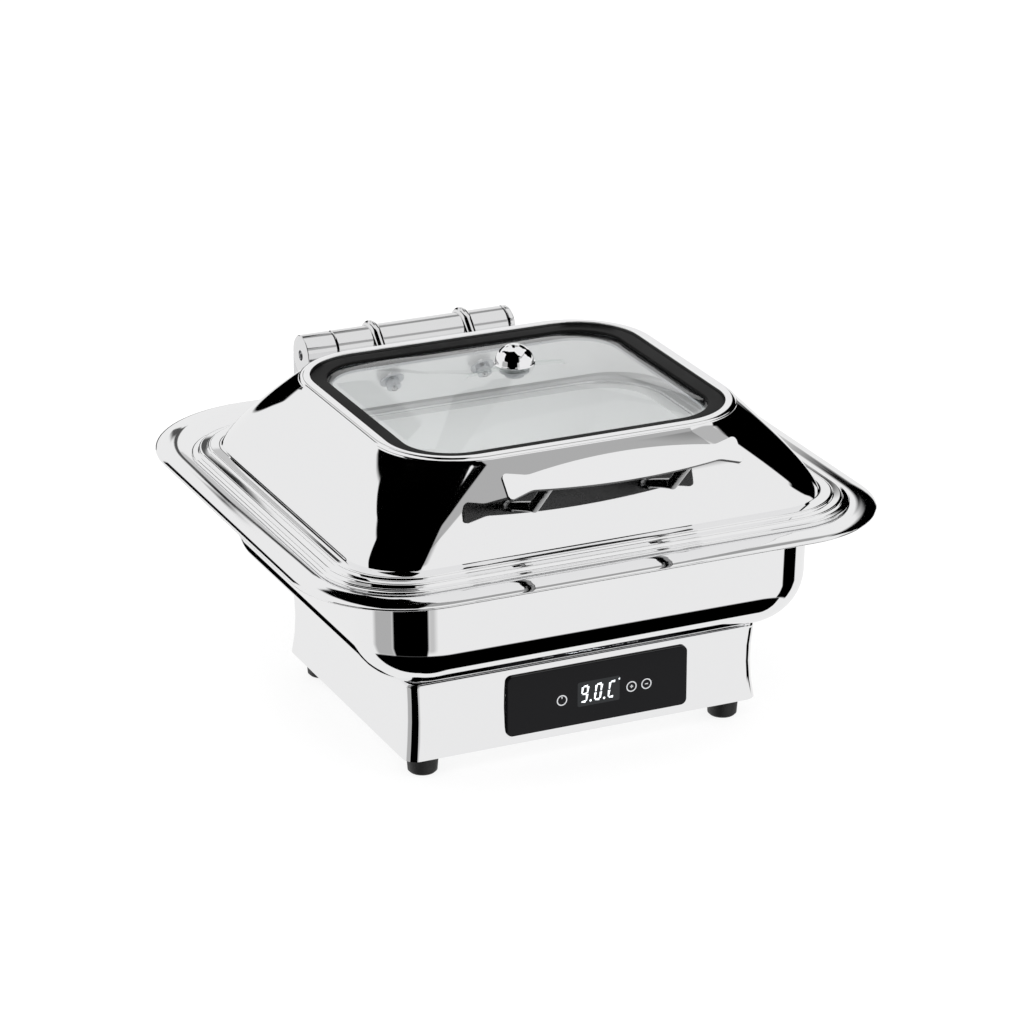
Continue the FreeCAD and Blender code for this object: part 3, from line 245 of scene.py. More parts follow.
def make_smudge_group():
    """Patchy roughness between two values, and a faint ripple as a normal."""
    group, entry, out = new_group("Handled Metal", (
        ("Low", "NodeSocketFloat", 0.02), ("High", "NodeSocketFloat", 0.06),
        ("Patch Scale", "NodeSocketFloat", 14.0), ("Ripple Scale", "NodeSocketFloat", 30.0),
        ("Ripple", "NodeSocketFloat", 0.02)),
        (("Roughness", "NodeSocketFloat"), ("Normal", "NodeSocketVector")))
    nodes, links = group.nodes, group.links
    coords = nodes.new("ShaderNodeTexCoord")
    patch = nodes.new("ShaderNodeTexNoise")
    patch.inputs["Detail"].default_value = 6
    links.new(coords.outputs["Object"], patch.inputs["Vector"])
    links.new(entry.outputs["Patch Scale"], patch.inputs["Scale"])
    add_roughness(group, entry, out, patch.outputs[0], 0.35, 0.7)
    ripple = nodes.new("ShaderNodeTexNoise")
    ripple.inputs["Detail"].default_value = 1
    links.new(coords.outputs["Object"], ripple.inputs["Vector"])
    links.new(entry.outputs["Ripple Scale"], ripple.inputs["Scale"])
    add_relief(group, out, ripple.outputs[0], entry.outputs["Ripple"], 0.001)
    return group


def make_grain_group():
    """Fine grain drawn out along one axis, as roughness and a normal."""
    group, entry, out = new_group("Drawn Grain", (
        ("Stretch", "NodeSocketVector", (6.0, 700.0, 700.0)), ("Low", "NodeSocketFloat", 0.2),
        ("High", "NodeSocketFloat", 0.4), ("Depth", "NodeSocketFloat", 0.08)),
        (("Roughness", "NodeSocketFloat"), ("Normal", "NodeSocketVector")))
    nodes, links = group.nodes, group.links
    coords = nodes.new("ShaderNodeTexCoord")
    stretch = nodes.new("ShaderNodeVectorMath")
    stretch.operation = "MULTIPLY"
    links.new(coords.outputs["Object"], stretch.inputs[0])
    links.new(entry.outputs["Stretch"], stretch.inputs[1])
    grain = nodes.new("ShaderNodeTexNoise")
    grain.inputs["Scale"].default_value = 1
    grain.inputs["Detail"].default_value = 3
    links.new(stretch.outputs[0], grain.inputs["Vector"])
    add_roughness(group, entry, out, grain.outputs[0], 0.3, 0.7)
    add_relief(group, out, grain.outputs[0], entry.outputs["Depth"], 0.0004)
    return group


def make_card_group():
    """Soft edged patch of sky: one inside two heights and two leaning sides."""
    group, entry, out = new_group("Sky Card", (
        ("Around", "NodeSocketFloat", None), ("Height", "NodeSocketFloat", None),
        ("Left Low", "NodeSocketFloat", None), ("Left High", "NodeSocketFloat", None),
        ("Right Low", "NodeSocketFloat", None), ("Right High", "NodeSocketFloat", None),
        ("Bottom", "NodeSocketFloat", None), ("Top", "NodeSocketFloat", None),
        ("Soft", "NodeSocketFloat", 3.0), ("Dark", "NodeSocketFloat", 1.0)),
        (("Light", "NodeSocketFloat"),))
    given = entry.outputs
    rise = add_math(group, "SUBTRACT", given["Height"], given["Bottom"])
    reach = add_math(group, "SUBTRACT", given["Top"], given["Bottom"])
    share = add_math(group, "DIVIDE", rise, reach, clamp=True)

    def side(low, high):
        width = add_math(group, "SUBTRACT", given[high], given[low])
        return add_math(group, "MULTIPLY_ADD", width, share, given[low])

    gaps = (add_math(group, "SUBTRACT", given["Around"], side("Left Low", "Left High")),
            add_math(group, "SUBTRACT", side("Right Low", "Right High"), given["Around"]),
            rise, add_math(group, "SUBTRACT", given["Top"], given["Height"]))
    mask = given["Dark"]
    for gap in gaps:
        step = add_math(group, "DIVIDE", gap, given["Soft"])
        step = add_math(group, "ADD", step, 0.5, clamp=True)
        mask = add_math(group, "MULTIPLY", mask, step)
    group.links.new(add_math(group, "SUBTRACT", 1.0, mask), out.inputs["Light"])
    return group


# Materials
def make_principled(name, color, roughness, metallic=0.0, effect=None, settings=None, **more):
    """Surface whose roughness and normal may come from a shared effect."""
    material = bpy.data.materials.new(name)
    material.use_nodes = True
    tree = material.node_tree
    shader = tree.nodes["Principled BSDF"]
    shader.inputs["Base Color"].default_value = (*color, 1)
    shader.inputs["Roughness"].default_value = roughness
    shader.inputs["Metallic"].default_value = metallic
    for label, value in more.items():
        shader.inputs[label.replace("_", " ")].default_value = value
    if effect:
        node = tree.nodes.new("ShaderNodeGroup")
        node.node_tree = effect
        for label, value in (settings or {}).items():
            node.inputs[label].default_value = value
        tree.links.new(node.outputs["Roughness"], shader.inputs["Roughness"])
        tree.links.new(node.outputs["Normal"], shader.inputs["Normal"])
    return material


def make_glass():
    """Clear sheet that lets light straight through and mirrors at its surface."""
    material = bpy.data.materials.new("window glass")
    material.use_nodes = True
    nodes, links = material.node_tree.nodes, material.node_tree.links
    nodes.clear()
    out = nodes.new("ShaderNodeOutputMaterial")
    mix = nodes.new("ShaderNodeMixShader")
    clear = nodes.new("ShaderNodeBsdfTransparent")
    clear.inputs["Color"].default_value = (0.97, 0.98, 0.975, 1)
    gloss = nodes.new("ShaderNodeBsdfGlossy")
    gloss.inputs["Roughness"].default_value = 0.01
    fresnel = nodes.new("ShaderNodeFresnel")
    fresnel.inputs["IOR"].default_value = 1.45
    facing = nodes.new("ShaderNodeNewGeometry")
    outside = add_math(material.node_tree, "SUBTRACT", 1.0, facing.outputs["Backfacing"])
    links.new(add_math(material.node_tree, "MULTIPLY", fresnel.outputs[0], outside), mix.inputs[0])
    links.new(clear.outputs[0], mix.inputs[1])
    links.new(gloss.outputs[0], mix.inputs[2])
    links.new(mix.outputs[0], out.inputs[0])
    return material


def make_materials(dish):
    """Every finish of the dish by its short name."""
    smudge, grain = make_smudge_group(), make_grain_group()
    polish = {"Low": 0.015, "High": 0.05, "Ripple": 0.01}
    mirror = {"Low": 0.01, "High": 0.03, "Ripple": 0.005}
    lining = {"Low": 0.18, "High": 0.28, "Ripple": 0.03}
    dulled = {"Low": 0.1, "High": 0.2, "Patch Scale": 60, "Ripple Scale": 220, "Ripple": 0.25}
    plated = {"Low": 0.2, "High": 0.35}
    moulded = {"Low": 0.45, "High": 0.65, "Patch Scale": 60, "Ripple Scale": 900, "Ripple": 0.2}
    pressed = {"Low": 0.35, "High": 0.5, "Ripple Scale": 500, "Ripple": 0.2}
    gloss = {"Low": 0.15, "High": 0.25, "Ripple": 0.0}
    window = {"Low": 0.2, "High": 0.3, "Ripple": 0.0}
    lit = (*dish.digit_color, 1)
    white = (1, 1, 1, 1)
    return {
        "steel": make_principled("polished steel", dish.steel_color, 0.03, 1.0, smudge, polish),
        # inside steel: its emission is a painted glow that stands in for the light inside the lid, on the
        # lid's inner side and the food pan
        "inside": make_principled("inside steel painted glow", (0.75, 0.75, 0.755), 0.25, 0.3, smudge, lining,
                                  Emission_Color=white, Emission_Strength=0.17),
        "satin": make_principled("satin steel", (0.72, 0.72, 0.73), 0.3, 0.7, grain),
        "chrome": make_principled("chrome", (0.93, 0.93, 0.935), 0.02, 1.0, smudge, mirror),
        "tube": make_principled("tube steel", (0.8, 0.8, 0.805), 0.1, 1.0, smudge,
                                {"Low": 0.06, "High": 0.12}),
        # post steel: its dark grey base colour is painted shade on the posts, which stand in the shade under
        # the handle plate
        "post": make_principled("post steel", (0.3, 0.3, 0.3), 0.15, 1.0, smudge, dulled),
        # shaded steel: near black, painted shade for the underside and the edges of the handle plate
        "shade": make_principled("shaded steel", (0.06, 0.06, 0.06), 0.25, 1.0, smudge, plated),
        "zinc": make_principled("zinc plate", (0.62, 0.63, 0.65), 0.28, 1.0, smudge, plated),
        "rubber": make_principled("black rubber", (0.012, 0.012, 0.012), 0.55, 0.0, smudge, moulded),
        "gasket": make_principled("window band", dish.band_color, 0.3, 0.0, smudge,
                                  {"Low": 0.3, "High": 0.4}, Specular_IOR_Level=0.02),
        "panel": make_principled("black gloss panel", (0.008, 0.008, 0.009), 0.2, 0.0, smudge, gloss,
                                 Specular_IOR_Level=0.12),
        "display": make_principled("display window", (0.028, 0.03, 0.032), 0.25, 0.0, smudge, window,
                                   Specular_IOR_Level=0.15),
        "digit": make_principled("lit digits", (0.9, 0.95, 1.0), 0.4,
                                 Emission_Color=lit, Emission_Strength=0.85),
        # printed symbols: the faint white emission is a painted glow that lifts the print on the keys
        "symbol": make_principled("printed symbols", (0.62, 0.63, 0.65), 0.5,
                                  Emission_Color=white, Emission_Strength=0.12),
        "glass": make_glass(),
        "board": make_principled("circuit board", (0.02, 0.16, 0.06), 0.45, 0.0, smudge,
                                 {"Low": 0.35, "High": 0.5}),
        "black": make_principled("black plastic", (0.02, 0.02, 0.021), 0.4, 0.0, smudge, moulded),
        "white": make_principled("white plastic", (0.8, 0.8, 0.77), 0.4, 0.0, smudge, moulded),
        "aluminium": make_principled("cast aluminium", (0.7, 0.7, 0.72), 0.4, 1.0, smudge, pressed),
        "element": make_principled("heater tube", (0.3, 0.28, 0.26), 0.45, 1.0, grain,
                                   {"Stretch": (700, 700, 6)}),
    }


MATERIALS = {}
SLOTS = {
    "polished_steel": "steel", "brushed_steel": "satin", "chrome": "chrome", "zinc_steel": "zinc",
    "black_rubber": "rubber", "black_gloss": "panel", "display_grey": "display", "key_grey": "panel",
    "circuit_green": "board", "black_plastic": "black", "white_plastic": "white",
    "cast_aluminium": "aluminium", "element_steel": "element", "clear_glass": "glass",
}


def dress_nodes(dish):
    """Give every solid model node the finish of its slot."""
    MATERIALS.update(make_materials(dish))
    for part in frame["record"]["subparts"]:
        node = frame["nodes"][part["node"]]
        node.data.materials.clear()
        node.data.materials.append(MATERIALS[SLOTS[part["material_slot"]]])


# Sizes in millimetres, from the solid model where one of its boxes shows them
FLANGE_X, FLANGE_Y, FLANGE_MID_Y, PAN_LOW_Z, FLANGE_Z = box_of("water_pan")
FOOD_X, FOOD_Y = box_of("food_pan")[:2]
RIM_X, RIM_Y, PAN_Y, RIM_Z, PLATEAU_Z = box_of("lid_shell")
BAND_X, BAND_Y, _, BAND_LOW_Z, BAND_Z = box_of("window_gasket")
SHEET = 1.2
# Water pan: half width, half depth and corner of its tub, and of the ledge for the food pan
TUB = (176 - SHEET, 160 - SHEET, 50 - SHEET)
TUB_FLOOR = PAN_LOW_Z + SHEET
FLOOR_INSET, FLOOR_CORNER = 110, 8
FILLET, FILLET_STEPS = 38 - SHEET, 12
TUB_LEAN = 1.5
SEAT_PLAY = 0.5
SEAT = (FOOD_X + SEAT_PLAY, FOOD_Y + SEAT_PLAY, 50 + SEAT_PLAY)
SEAT_Z = FLANGE_Z - 3.2
SEAT_ROUND = 0.9
FLANGE_CORNERS = (83.6, 100)
# Flange edge, outside in: inset and drop below the top
FLANGE_EDGE = ((20, 0), (14.5, 0.45), (13, 0.6), (11, 0.8), (8, 1.08), (5.5, 1.38), (3.4, 1.7), (1.8, 2.05),
               (0.8, 2.35), (0.2, 2.6), (0, 2.9), (0, 3.4), (0.2, 3.9), (0.7, 4.3), (1.5, 4.5))
# Lid: its stepped rim as inset and height above the rim, then the wall and the plateau
RIM_CORNER, FOOT_CORNER, PLATEAU_CORNER = 62, 45, 62
RIM_STEPS = ((0, 0), (0, 0.7), (0.2, 1.2), (0.7, 1.6), (1.5, 1.8), (4.1, 2.1), (4.5, 2.3), (4.7, 2.8),
             (4.9, 3.9), (5.2, 4.5), (5.8, 4.9), (6.8, 5.1), (10.7, 5.35), (11.1, 5.55), (11.3, 6.0),
             (11.5, 6.5), (11.9, 6.95), (12.6, 7.2), (13.6, 7.3), (18.8, 7.5), (20.2, 7.65))
FOOT_INSET = 21
FOOT_X, FOOT_Y, FOOT_Z = RIM_X - FOOT_INSET, RIM_Y - FOOT_INSET, RIM_Z + 7.8
WALL_CURVE, WALL_STEPS = 1.3, 24
PLATEAU_LAND = 9.5
PLATEAU_X, PLATEAU_Y = BAND_X + PLATEAU_LAND, BAND_Y + PLATEAU_LAND
EDGE_RUN, EDGE_DROP = 4.0, 2.2
# Window: half width, half depth and corner of its opening, with the band and the pane inside it
WINDOW = (BAND_X, BAND_Y, 50)
LIP_LOW_Z = BAND_LOW_Z - 5
BAND_WIDTH, BAND_EDGE, BAND_SLOPE = 12.5, 0.4, 1.2
PANE_RINGS, PANE_GAP, PANE_CORNER = 24, 0.3, 30
# Vent cap: thin skirt and half an ellipse
VENT_Y = -15
SKIRT = ((0, 0), (15.1, 0), (15.3, 0.3), (15.1, 1.1), (14.4, 1.4))
DOME_RADIUS, DOME_RISE, DOME_STEPS = 14.25, 13.1, 18


def pan_ring(size, z, grow=0.0):
    """Level outline about the pan's centre, from half width, half depth and corner radius."""
    half_x, half_y, corner = (value + grow for value in size)
    return half_x, half_y, corner, corner, z, PAN_Y


def build_water_pan(dish):
    """Tub with a rounded floor, a ledge for the food pan, and a flange whose edge rolls under."""
    half_x, half_y, corner = TUB
    rings = [pan_ring((half_x - FLOOR_INSET, half_y - FLOOR_INSET, FLOOR_CORNER), TUB_FLOOR)]
    for step in range(FILLET_STEPS + 1):
        angle = math.radians(90 * step / FILLET_STEPS)
        inset = FILLET * (1 - math.sin(angle))
        z = TUB_FLOOR + FILLET * (1 - math.cos(angle))
        lean = TUB_LEAN * (FLANGE_Z - z) / (FLANGE_Z - TUB_FLOOR)
        rings.append(pan_ring((half_x - lean, half_y - lean, corner), z, -inset))
    for size, top in ((TUB, SEAT_Z), (SEAT, FLANGE_Z)):
        for angle in range(0, 91, 15):
            grow = SEAT_ROUND * (1 - math.cos(math.radians(angle)))
            z = top - SEAT_ROUND * (1 - math.sin(math.radians(angle)))
            rings.append(pan_ring(size, z, grow))
        if top == SEAT_Z:
            rings.append(pan_ring(SEAT, SEAT_Z))
    front, back = FLANGE_CORNERS
    for inset, drop in FLANGE_EDGE:
        rings.append((FLANGE_X - inset, FLANGE_Y - inset, front - inset, back - inset,
                      FLANGE_Z - drop, FLANGE_MID_Y))
    bm = loft_rings(rings, dish.corner_steps, cap_first=True)
    piece = new_object("water_pan_skin", bm, MATERIALS["steel"], "base", ("water_pan",))
    low = min(piece.data.polygons, key=lambda face: face.center.z)
    add_sheet(piece, dish.sheet).offset = -1 if low.normal.z > 0 else 1
    add_weights(piece)


def wall_ring(share):
    """Level outline of the dome wall at a share of its height."""
    along = share ** WALL_CURVE
    half_x, half_y = lerp(FOOT_X, PLATEAU_X, along), lerp(FOOT_Y, PLATEAU_Y, along)
    corner = lerp(FOOT_CORNER, PLATEAU_CORNER, share)
    return pan_ring((half_x, half_y, corner), lerp(FOOT_Z, PLATEAU_Z - EDGE_DROP, share))


def build_lid(dish):
    """Stepped rim, curved wall, plateau and the lip that turns down at the window."""
    rings = []
    for inset, rise in RIM_STEPS:
        corner = lerp(RIM_CORNER, FOOT_CORNER, inset / FOOT_INSET)
        rings.append(pan_ring((RIM_X - inset, RIM_Y - inset, corner), RIM_Z + rise))
    rings += [wall_ring(k / WALL_STEPS) for k in range(WALL_STEPS + 1)]
    for angle in range(15, 91, 15):
        turn = math.radians(angle)
        run = EDGE_RUN * (1 - math.cos(turn))
        z = PLATEAU_Z - EDGE_DROP * (1 - math.sin(turn))
        rings.append(pan_ring((PLATEAU_X - run, PLATEAU_Y - run, PLATEAU_CORNER), z))
    for grow, z in ((0.6, PLATEAU_Z), (0.15, PLATEAU_Z - 0.2), (0, PLATEAU_Z - 0.7), (0, LIP_LOW_Z)):
        rings.append(pan_ring(WINDOW, z, grow))
    bm = loft_rings(rings, dish.corner_steps)
    piece = new_object("lid_skin", bm, MATERIALS["steel"], "lid", ("lid_shell",))
    # The inner side takes the inside steel with its painted glow
    piece.data.materials.append(MATERIALS["inside"])
    mod = add_sheet(piece, dish.sheet)
    mod.material_offset = 1
    add_weights(piece)


def build_window(dish):
    """Black band and the crowned pane inside it."""
    half_x, half_y, corner = WINDOW
    outer = (half_x - 0.1, half_y - 0.1, corner)
    inner = (half_x - BAND_WIDTH, half_y - BAND_WIDTH, corner - BAND_WIDTH)
    shoulder = BAND_Z - BAND_EDGE
    rings = [pan_ring(outer, BAND_LOW_Z), pan_ring(outer, shoulder),
             pan_ring(outer, BAND_Z, -BAND_EDGE), pan_ring(inner, BAND_Z, BAND_SLOPE),
             pan_ring(inner, shoulder, 0.3), pan_ring(inner, BAND_LOW_Z)]
    bm = loft_rings(rings, dish.corner_steps)
    band = new_object("window_band", bm, MATERIALS["gasket"], "lid", ("window_gasket",))
    add_weights(band, 50)
    rings = [pan_ring(WINDOW, BAND_LOW_Z - 0.01, -5)]
    top = BAND_Z + mm(dish.crown)
    for k in range(PANE_RINGS):
        share = 1 - k / PANE_RINGS
        half_x, half_y = (inner[0] - PANE_GAP) * share, (inner[1] - PANE_GAP) * share
        corner = min(lerp(PANE_CORNER, inner[2], share), 0.97 * half_y)
        rings.append(pan_ring((half_x, half_y, corner), top - (top - BAND_LOW_Z) * share ** 2))
    bm = loft_rings(rings, dish.corner_steps, cap_last=True)
    pane = new_object("window_pane", bm, MATERIALS["glass"], "lid", ("window_glass",))
    add_sheet(pane, dish.glass, even=False)
    add_weights(pane)


def build_vent(dish):
    """Small polished dome on a thin skirt."""
    points = list(SKIRT)
    for step in range(1, DOME_STEPS + 1):
        angle = math.radians(90 * step / DOME_STEPS)
        points.append((DOME_RADIUS * math.cos(angle), SKIRT[-1][1] + DOME_RISE * math.sin(angle)))
    bm = spin_profile(points)
    bmesh.ops.translate(bm, verts=bm.verts, vec=(0, VENT_Y * MM, BAND_Z * MM + dish.crown))
    piece = new_object("vent_dome", bm, MATERIALS["chrome"], "lid", ("vent_cap",))
    add_weights(piece, 40)


def build_base(dish):
    """Housing and feet with smooth rounds."""
    merged_copy("base_shell", MATERIALS["steel"], 25)
    for node in ("foot_front_left", "foot_front_right", "foot_back_left", "foot_back_right"):
        merged_copy(node, MATERIALS["rubber"], 35)


def build_hinge(dish):
    """Tubes and bent arms with smooth rounds."""
    for node in ("hinge_barrel", "hinge_end_left", "hinge_end_right", "hinge_arm_left", "hinge_arm_right"):
        merged_copy(node, MATERIALS["tube"], 35)


def build_handle(dish):
    """Flat plate with soft edges, its underside and edges in painted shade, on its two posts darkened with
    painted shade.
    """
    plate = merged_copy("handle_plate", MATERIALS["chrome"], 30)
    plate.data.materials.append(MATERIALS["shade"])
    for face in plate.data.polygons:
        # Faces that don't face out from the lid get the shaded steel: painted shade on the underside and the
        # edges
        face.material_index = int(face.normal.z - face.normal.y < 0.7)
    edge = plate.modifiers.new("Edges", "BEVEL")
    edge.width = 0.5 * MM
    edge.segments = 2
    edge.limit_method = "ANGLE"
    edge.angle_limit = math.radians(50)
    plate.modifiers.move(len(plate.modifiers) - 1, 0)
    for node in ("handle_post_left", "handle_post_right"):
        # The posts take the post steel with its painted shade
        merged_copy(node, MATERIALS["post"], 35)


def build_food_pan(dish):
    """Pan that shows through the window."""
    # The food pan takes the inside steel with its painted glow
    merged_copy("food_pan", MATERIALS["inside"], 25)


# Panel marks
# Bars of a sign by letter: side, level and whether it stands upright
SEGMENTS = {"a": (0, 2, 0), "b": (1, 1, 1), "c": (1, -1, 1), "d": (0, -2, 0), "e": (-1, -1, 1),
            "f": (-1, 1, 1), "g": (0, 0, 0)}
# Lit bars and place of each sign, and the places of the points between them
SIGNS = (("abcdfg", -2.0), ("abcdef", 8.9), ("adef", 19.8))
POINTS = (3.6, 14.4)
TICK_X, TICK_LENGTH, TICK_WIDTH = 24.6, 2.4, 1.4
INK_STEP = 0.1
INK_THICKNESS = 0.08


def add_segment(bm, x, z, upright, length, width):
    """Flat six sided bar with pointed ends, in the XZ plane."""
    made = bmesh.ops.create_circle(bm, cap_ends=True, radius=1, segments=6)
    for vert in made["verts"]:
        along = math.copysign(length / 2 - (0 if abs(vert.co.y) < 0.1 else width / 2), vert.co.x)
        across = width / 2 * vert.co.y / math.sin(math.pi / 3)
        u, w = (across, along) if upright else (along, across)
        vert.co = (x + u, 0, z + w)


def build_digits(dish):
    """Lit seven segment signs, points between them and a raised tick."""
    bm = bmesh.new()
    high = mm(dish.digit_height)
    wide, bar = high * 0.44, high * 0.12
    for letters, x in SIGNS:
        for letter in letters:
            side, level, upright = SEGMENTS[letter]
            spot_x = x + side * (wide - bar) / 2
            spot_z = level * (high - bar) / 4
            length = ((high - bar) / 2 if upright else wide - bar) - 0.35 + bar * 0.6
            add_segment(bm, spot_x, spot_z, upright, length, bar)
    for x in POINTS:
        made = bmesh.ops.create_circle(bm, cap_ends=True, radius=bar * 0.55, segments=12)
        bmesh.ops.rotate(bm, verts=made["verts"], matrix=Matrix.Rotation(math.pi / 2, 3, "X"))
        bmesh.ops.translate(bm, verts=made["verts"], vec=(x, 0, bar / 2 - high / 2))
    add_segment(bm, TICK_X, high / 2 + 0.3, False, TICK_LENGTH, TICK_WIDTH)
    for vert in bm.verts:
        vert.co.x += vert.co.z * math.tan(dish.digit_slant)
    low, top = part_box("display_window")
    faces = list(bm.faces)
    bmesh.ops.scale(bm, verts=bm.verts, vec=(MM, MM, MM))
    bmesh.ops.translate(bm, verts=bm.verts, vec=(0, low.y - INK_STEP * MM, (low.z + top.z) / 2))
    grown = bmesh.ops.extrude_face_region(bm, geom=faces)["geom"]
    verts = [g for g in grown if isinstance(g, bmesh.types.BMVert)]
    bmesh.ops.translate(bm, verts=verts, vec=(0, INK_THICKNESS * MM, 0))
    piece = new_object("display_digits", bm, MATERIALS["digit"], "base")
    piece.data.shade_flat()


def add_ring(bm, radius, width, spot):
    """Flat ring facing front."""
    verts = []
    for size in (radius - width / 2, radius + width / 2):
        verts += bmesh.ops.create_circle(bm, cap_ends=False, radius=size, segments=40)["verts"]
    edges = list({edge for vert in verts for edge in vert.link_edges})
    bmesh.ops.bridge_loops(bm, edges=edges)
    bmesh.ops.rotate(bm, verts=verts, matrix=Matrix.Rotation(math.pi / 2, 3, "X"))
    bmesh.ops.translate(bm, verts=verts, vec=spot)


# Bars of each key's sign: rise, whether it stands upright, and length
KEY_SIGNS = {"power": ((2.0, True, 2.6),), "plus": ((0, False, 3.4), (0, True, 3.4)),
             "minus": ((0, False, 3.4),)}


def build_key_marks(dish):
    """Ring and sign on each touch key."""
    for name in KEY_SIGNS:
        low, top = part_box("touch_key_" + name)
        centre = (low + top) / 2 / MM
        spot = Vector((centre.x, low.y / MM - 0.06, centre.z))
        bm = bmesh.new()
        add_ring(bm, 3.7, 0.85, spot)
        for rise, upright, length in KEY_SIGNS[name]:
            add_segment(bm, spot.x, spot.z + rise, upright, length, 0.9)
        for vert in bm.verts:
            vert.co.y = spot.y
        bmesh.ops.scale(bm, verts=bm.verts, vec=(MM, MM, MM))
        piece = new_object(f"key_mark_{name}", bm, MATERIALS["symbol"], "base")
        piece.data.shade_flat()


# Stage
# Dark cards that the steel mirrors, in degrees round the dish from the front and above the
# ground: left edge low and high, right edge low and high, bottom, top, softness, darkness
CARDS = (
    (-66, -66, -9, -6, -42, 20, 3, 1),
    (-102, -98, -66, -66, -42, 12, 8, 0.5),
    (-9, -6, 4, 4, -34, 12, 8, 0.35),
    (-87, -107, 3, 11, 14, 51, 1.5, 1),
    (-143, -138, 33, 20, 48.5, 60.5, 1.5, 1),
    (-141, -125, 13, 15, 54, 66, 1.5, 1),
    (-127, -110, 15, 5, 64, 92, 1.5, 1),
    (-156, -150, -149.5, -135, 31, 45, 1.5, 1),
    (-150, -143, -136, -112, 43, 51, 1.5, 1),
    (3, 3, 10, 14, 18, 40, 6, 0.45),
    (6, 6, 37, 37, 38, 48.5, 1.2, 0.5),
    (36, 36, 77, 74, 43, 48.5, 1.2, 0.45),
    (81, 76, 117, 92, 26, 44, 2, 1),
    (96, 74, 134, 122, 2, 29, 2, 1),
    (128, 118, 138, 134, -10, 5, 2, 1),
    (118, 118, 147.5, 138, 15, 42, 1.5, 1),
    (138, 143, 155, 153, 36, 52, 2, 0.6),
    (155.5, 151, 164, 168, 31, 62, 0.8, 1),
    (158, 158, 165.3, 165.3, 24.8, 25.7, 0.4, 0.95),
    (158, 158, 164, 164, 22.3, 24.8, 0.5, 0.35),
    (164, 164, 165.3, 165.3, 16, 25.2, 0.4, 0.9),
    (160, 175, 168, 202, -7, 17.5, 1, 1),
    (-181, -181, -192, -158, -7, 17.5, 1, 1),
    (172, 172, 182, 184, 27, 33, 1, 1),
    (60, 60, 92, 92, -41, -15, 2, 1),
    (-112, -112, 105, 70, -96, -41, 2, 1),
    (-181, -181, -174, -174, -50, -27, 1, 1),
    (171, 171, 181, 181, -50, -27, 1, 1),
)


def build_sky(dish):
    """Large shell that only reflections see: white with dark cards."""
    material = bpy.data.materials.new("sky")
    material.use_nodes = True
    tree = material.node_tree
    tree.nodes.clear()
    out = tree.nodes.new("ShaderNodeOutputMaterial")
    glow = tree.nodes.new("ShaderNodeEmission")
    coords = tree.nodes.new("ShaderNodeTexCoord")
    split = tree.nodes.new("ShaderNodeSeparateXYZ")
    unit = tree.nodes.new("ShaderNodeVectorMath")
    unit.operation = "NORMALIZE"
    tree.links.new(coords.outputs["Object"], unit.inputs[0])
    tree.links.new(unit.outputs[0], split.inputs[0])
    minus_y = add_math(tree, "MULTIPLY", split.outputs["Y"], -1.0)
    around = add_math(tree, "DEGREES", add_math(tree, "ARCTAN2", split.outputs["X"], minus_y))
    height = add_math(tree, "DEGREES", add_math(tree, "ARCSINE", split.outputs["Z"]))
    light = dish.sky
    group = make_card_group()
    labels = ("Left Low", "Left High", "Right Low", "Right High", "Bottom", "Top", "Soft", "Dark")
    for card in CARDS:
        node = tree.nodes.new("ShaderNodeGroup")
        node.node_tree = group
        tree.links.new(around, node.inputs["Around"])
        tree.links.new(height, node.inputs["Height"])
        for label, value in zip(labels, card):
            node.inputs[label].default_value = value
        light = add_math(tree, "MULTIPLY", node.outputs["Light"], light)
    tree.links.new(light, glow.inputs["Strength"])
    tree.links.new(glow.outputs[0], out.inputs[0])
    bm = bmesh.new()
    bmesh.ops.create_icosphere(bm, subdivisions=4, radius=12)
    sky = new_object("sky", bm, material)
    sky.visible_camera = False
    sky.visible_diffuse = False
    sky.visible_shadow = False
    sky.visible_volume_scatter = False


def build_floor(dish):
    """White ground that takes a faint shadow and isn't mirrored."""
    bm = bmesh.new()
    bmesh.ops.create_grid(bm, x_segments=1, y_segments=1, size=9)
    white = make_principled("floor", (0.2, 0.2, 0.2), 0.9,
                            Emission_Color=(1, 1, 1, 1), Emission_Strength=0.84)
    floor = new_object("floor", bm, white)
    floor.visible_glossy = False


def build_light(dish):
    """Even surroundings and one broad soft lamp."""
    world = bpy.data.worlds.new("world")
    bpy.context.scene.world = world
    world.use_nodes = True
    ground = world.node_tree.nodes["Background"]
    ground.inputs["Color"].default_value = (1, 1, 1, 1)
    ground.inputs["Strength"].default_value = dish.world
    data = bpy.data.lights.new("softbox", "AREA")
    data.energy = dish.lamp
    data.size = 2.2
    lamp = bpy.data.objects.new("softbox", data)
    lamp.location = (-0.6, -0.9, 2.4)
    lamp.rotation_euler = (Vector((0, 0, 0.15)) - lamp.location).to_track_quat("-Z", "Y").to_euler()
    lamp.visible_glossy = False
    bpy.context.scene.collection.objects.link(lamp)


def build_camera(dish):
    """Long lens at the front left, looking down on the lid."""
    data = bpy.data.cameras.new("camera")
    data.lens = 149.3
    data.sensor_width = 36
    data.clip_end = 60
    camera = bpy.data.objects.new("camera", data)
    camera.location = (-1.2127, -2.6583, 1.2834)
    camera.rotation_euler = (math.radians(68.56), 0, math.radians(-24.61))
    bpy.context.scene.collection.objects.link(camera)
    bpy.context.scene.camera = camera
    bpy.context.scene.view_settings.view_transform = "Standard"


